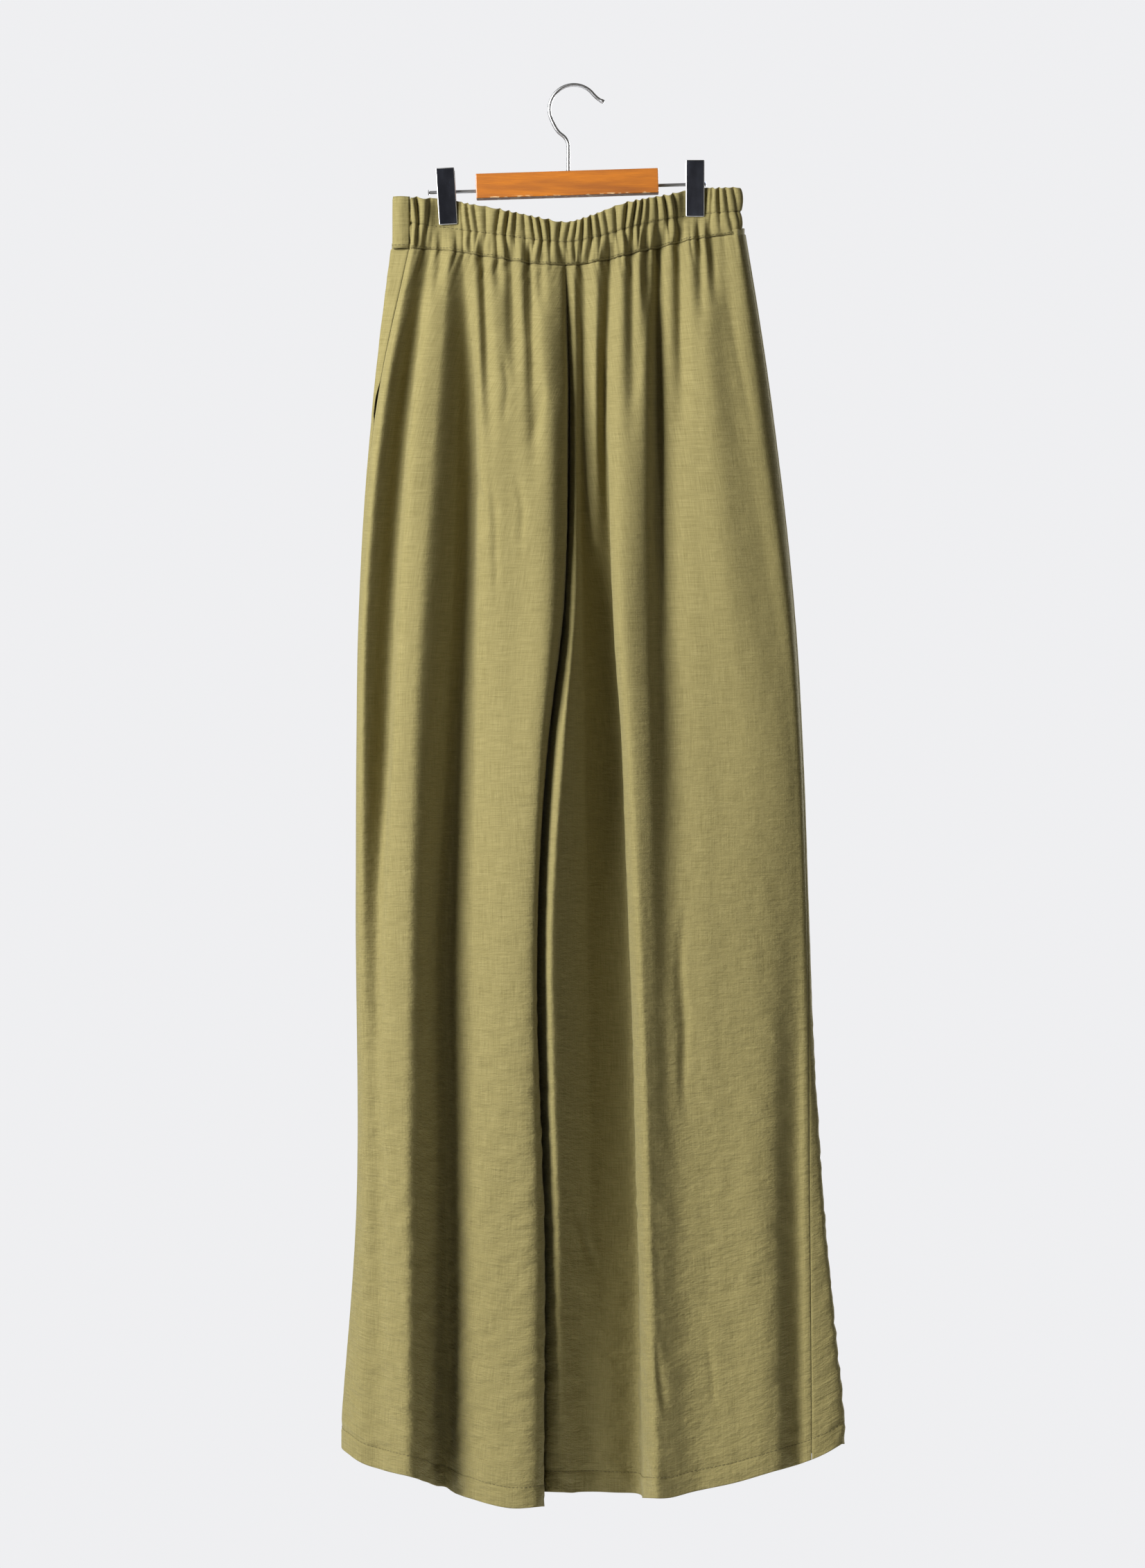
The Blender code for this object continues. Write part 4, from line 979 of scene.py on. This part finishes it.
def painted_reflection_plating():
    """The faces of the clips: painted reflection, dark and blue as where they mirror a dark room, with paler
    painted reflection in clouds.
    """
    n = Nodes("painted_reflection_plating")
    painted_reflection_clouds = n.noise(n.places("Object", (1.0, 1.0, 0.5)), 90.0, 3.0)
    n.colour(n.mix(n.ramp(painted_reflection_clouds, 0.3, 0.75), PAINTED_REFLECTION_DARK, PAINTED_REFLECTION_PALE))
    n.link(n.ramp(painted_reflection_clouds, 0.3, 0.8, 0.10, 0.22), n.shader.inputs["Roughness"])
    n.set(Metallic=1.0)
    return n.owner


def chrome_material():
    """Bright plating with faint rubbing marks."""
    n = Nodes("bright_plating")
    rubbed = n.noise(n.places("Object", (1.0, 1.0, 6.0)), 160.0, 4.0)
    n.link(n.ramp(rubbed, 0.3, 0.8, 0.30, 0.42), n.shader.inputs["Roughness"])
    n.colour(n.mix(n.ramp(rubbed, 0.3, 0.8, 0.0, 0.25), CHROME_FACE, CHROME_RUBBED))
    n.set(Metallic=1.0)
    return n.owner


def floor_material():
    """A matt pale floor, barely clouded."""
    n = Nodes("pale_floor")
    soft = n.noise(n.places("Object"), 3.0, 2.0)
    n.colour(n.mix(soft, *FLOOR_TONES))
    n.set(Roughness=0.9)
    return n.owner


# ---- the garment ----
def add_garment():
    """Legs, pocket bags and waistband, with their stitching."""
    cloth = cloth_material()
    thread = thread_material()
    legs = (
        ("back_left", -1, BACK_LEFT, FRONT_LEFT, False, GATHERS_LEFT, CREASES_LEFT, HEM_LEFT, False),
        ("back_right", 1, BACK_RIGHT, FRONT_RIGHT, False, GATHERS_RIGHT, CREASES_RIGHT, HEM_RIGHT, False),
        ("front_left", 1, FRONT_LEFT, BACK_LEFT, True, (), CREASES_FRONT_LEFT, HEM_LEFT, True),
        ("front_right", -1, FRONT_RIGHT, BACK_RIGHT, True, (), CREASES_FRONT_RIGHT, HEM_RIGHT, False),
    )
    rows = panel_rows()
    stitch_row = int(np.argmin(np.abs(rows - (HEM_LEVEL - HEM_STITCH))))
    grids = {}
    for seed, (name, side, table, partner, is_front, gathers, creases, hem, gapes) in enumerate(legs):
        grid, weave = leg_panel(table, partner, is_front, side, gathers, creases, hem, gapes, 1.0 + seed)
        grids[name] = grid
        piece = cloth_piece(name + "_cloth", grid, weave, side, cloth, (name,))
        stitched_line(name + "_hem_stitching", grid, stitch_row, side, thread)
    add_bags(grids, cloth)
    add_waistband(grids, cloth, thread)


def add_bags(grids, cloth):
    """The pocket bags, inside the front panels beside the side seams."""
    levels = panel_rows()
    rows = (levels > BAG_TOP) & (levels < BAG_FOOT)
    for name, panel, side in (("pocket_left", "front_left", 1), ("pocket_right", "front_right", -1)):
        grid = grids[panel][:-TURN_ROWS]
        run = chords(grid[int(np.argmin(np.abs(levels - BAG_FOOT)))])
        columns = (run > BAG_INSET) & (run < BAG_REACH)
        moved = grid + (WALL + SEAM_GAP + BAG_PLAY) * inward_normals(grid, side)
        bag = moved[rows][:, columns]
        weave = np.dstack([np.repeat(run[columns][None], len(bag), axis=0), bag[..., 2]])
        piece = cloth_piece(name + "_bag", bag, weave, side, cloth, (name,))


def add_waistband(grids, cloth, thread):
    """The gathered back band and the flat front band, with their stitching."""
    grid, weave = back_band([grids[name][-1 - TURN_ROWS] for name in ("back_left", "back_right")])
    piece = cloth_piece("waistband_back_cloth", grid, weave, -1, cloth, ("waistband_back",))
    stitched_line("waist_seam_stitching", grid, SEAM_ROW, -1, thread)
    stitched_line("channel_stitching", grid, SKIRT_ROWS - 1, -1, thread)
    grid, weave = front_band()
    piece = cloth_piece("waistband_front_cloth", grid, weave, 1, cloth, ("waistband_front",))
    stitched_line("front_waist_seam_stitching", grid, SEAM_ROW, 1, thread)


# ---- light and view ----
def add_light(name, azimuth, elevation, distance, size, power, target):
    """A soft rectangular light that faces the target."""
    data = bpy.data.lights.new(name, "AREA")
    data.shape = "RECTANGLE"
    data.size, data.size_y = size
    data.energy = power
    light = add_object(name, data)
    across_angle, up_angle = math.radians(azimuth), math.radians(elevation)
    way = Vector((math.sin(across_angle) * math.cos(up_angle),
                  -math.cos(across_angle) * math.cos(up_angle), math.sin(up_angle)))
    light.location = target + way * distance
    light.rotation_euler = (-way).to_track_quat("-Z", "Y").to_euler()


def add_world():
    """A pale wall behind, seen plainly by the camera, and a dim room in front."""
    n = Nodes("studio", "worlds")
    bpy.context.scene.world = n.owner
    n.tree.nodes.clear()
    room = n.add("Background")
    light = n.mix(n.ramp(n.axis("Generated", "Y"), *ROOM_SPREAD), ROOM_DIM, ROOM_WALL)
    n.link(light, room.inputs["Color"])
    wall = n.add("Background", Color=(*WALL_PALE, 1.0))
    choose = n.add("MixShader")
    n.link(n.add("LightPath").outputs["Is Camera Ray"], choose.inputs["Fac"])
    n.link(room.outputs[0], choose.inputs[1])
    n.link(wall.outputs[0], choose.inputs[2])
    n.link(choose.outputs[0], n.add("OutputWorld").inputs["Surface"])


def add_stage():
    """A plain pale floor below the view."""
    shape = bmesh.new()
    bmesh.ops.create_grid(shape, x_segments=4, y_segments=4, size=FLOOR_HALF * MM)
    mesh = mesh_from(shape, "floor")
    mesh.materials.append(floor_material())
    floor = add_object("floor", mesh)
    floor.location = (0, 0, -FLOOR_LEVEL * MM)


def add_camera():
    """The camera, level and square to the hanger's plane."""
    data = bpy.data.cameras.new("camera")
    data.sensor_fit = "HORIZONTAL"
    data.sensor_width = SENSOR
    data.lens = SENSOR * VIEW_DISTANCE / VIEW_WIDTH
    camera = add_object("camera", data)
    camera.location = Vector((VIEW_PLACE, -VIEW_DISTANCE, -VIEW_LEVEL)) * MM
    camera.rotation_euler = (math.radians(90), 0, 0)
    bpy.context.scene.camera = camera


def main():
    """Load the solids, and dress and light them."""
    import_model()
    add_garment()
    chrome = chrome_material()
    # The clips' faces get a painted reflection of a dark room.
    faces = painted_reflection_plating()
    add_hook(chrome)
    add_rods(chrome)
    for name, place, lean in zip(("clip_left", "clip_right"), CLIP_PLACES, CLIP_LEAN):
        add_clip(name + "_plates", place, lean, chrome, faces, name)
    wood = wood_material()
    for slot in bpy.data.objects["bar"].material_slots:
        slot.material = wood
    add_camera()
    add_world()
    middle = Vector((0, 0, -VIEW_LEVEL)) * MM
    for light in LIGHTS:
        add_light(*light, middle)
    add_stage()
    bpy.context.scene.view_settings.view_transform = "Standard"


main()
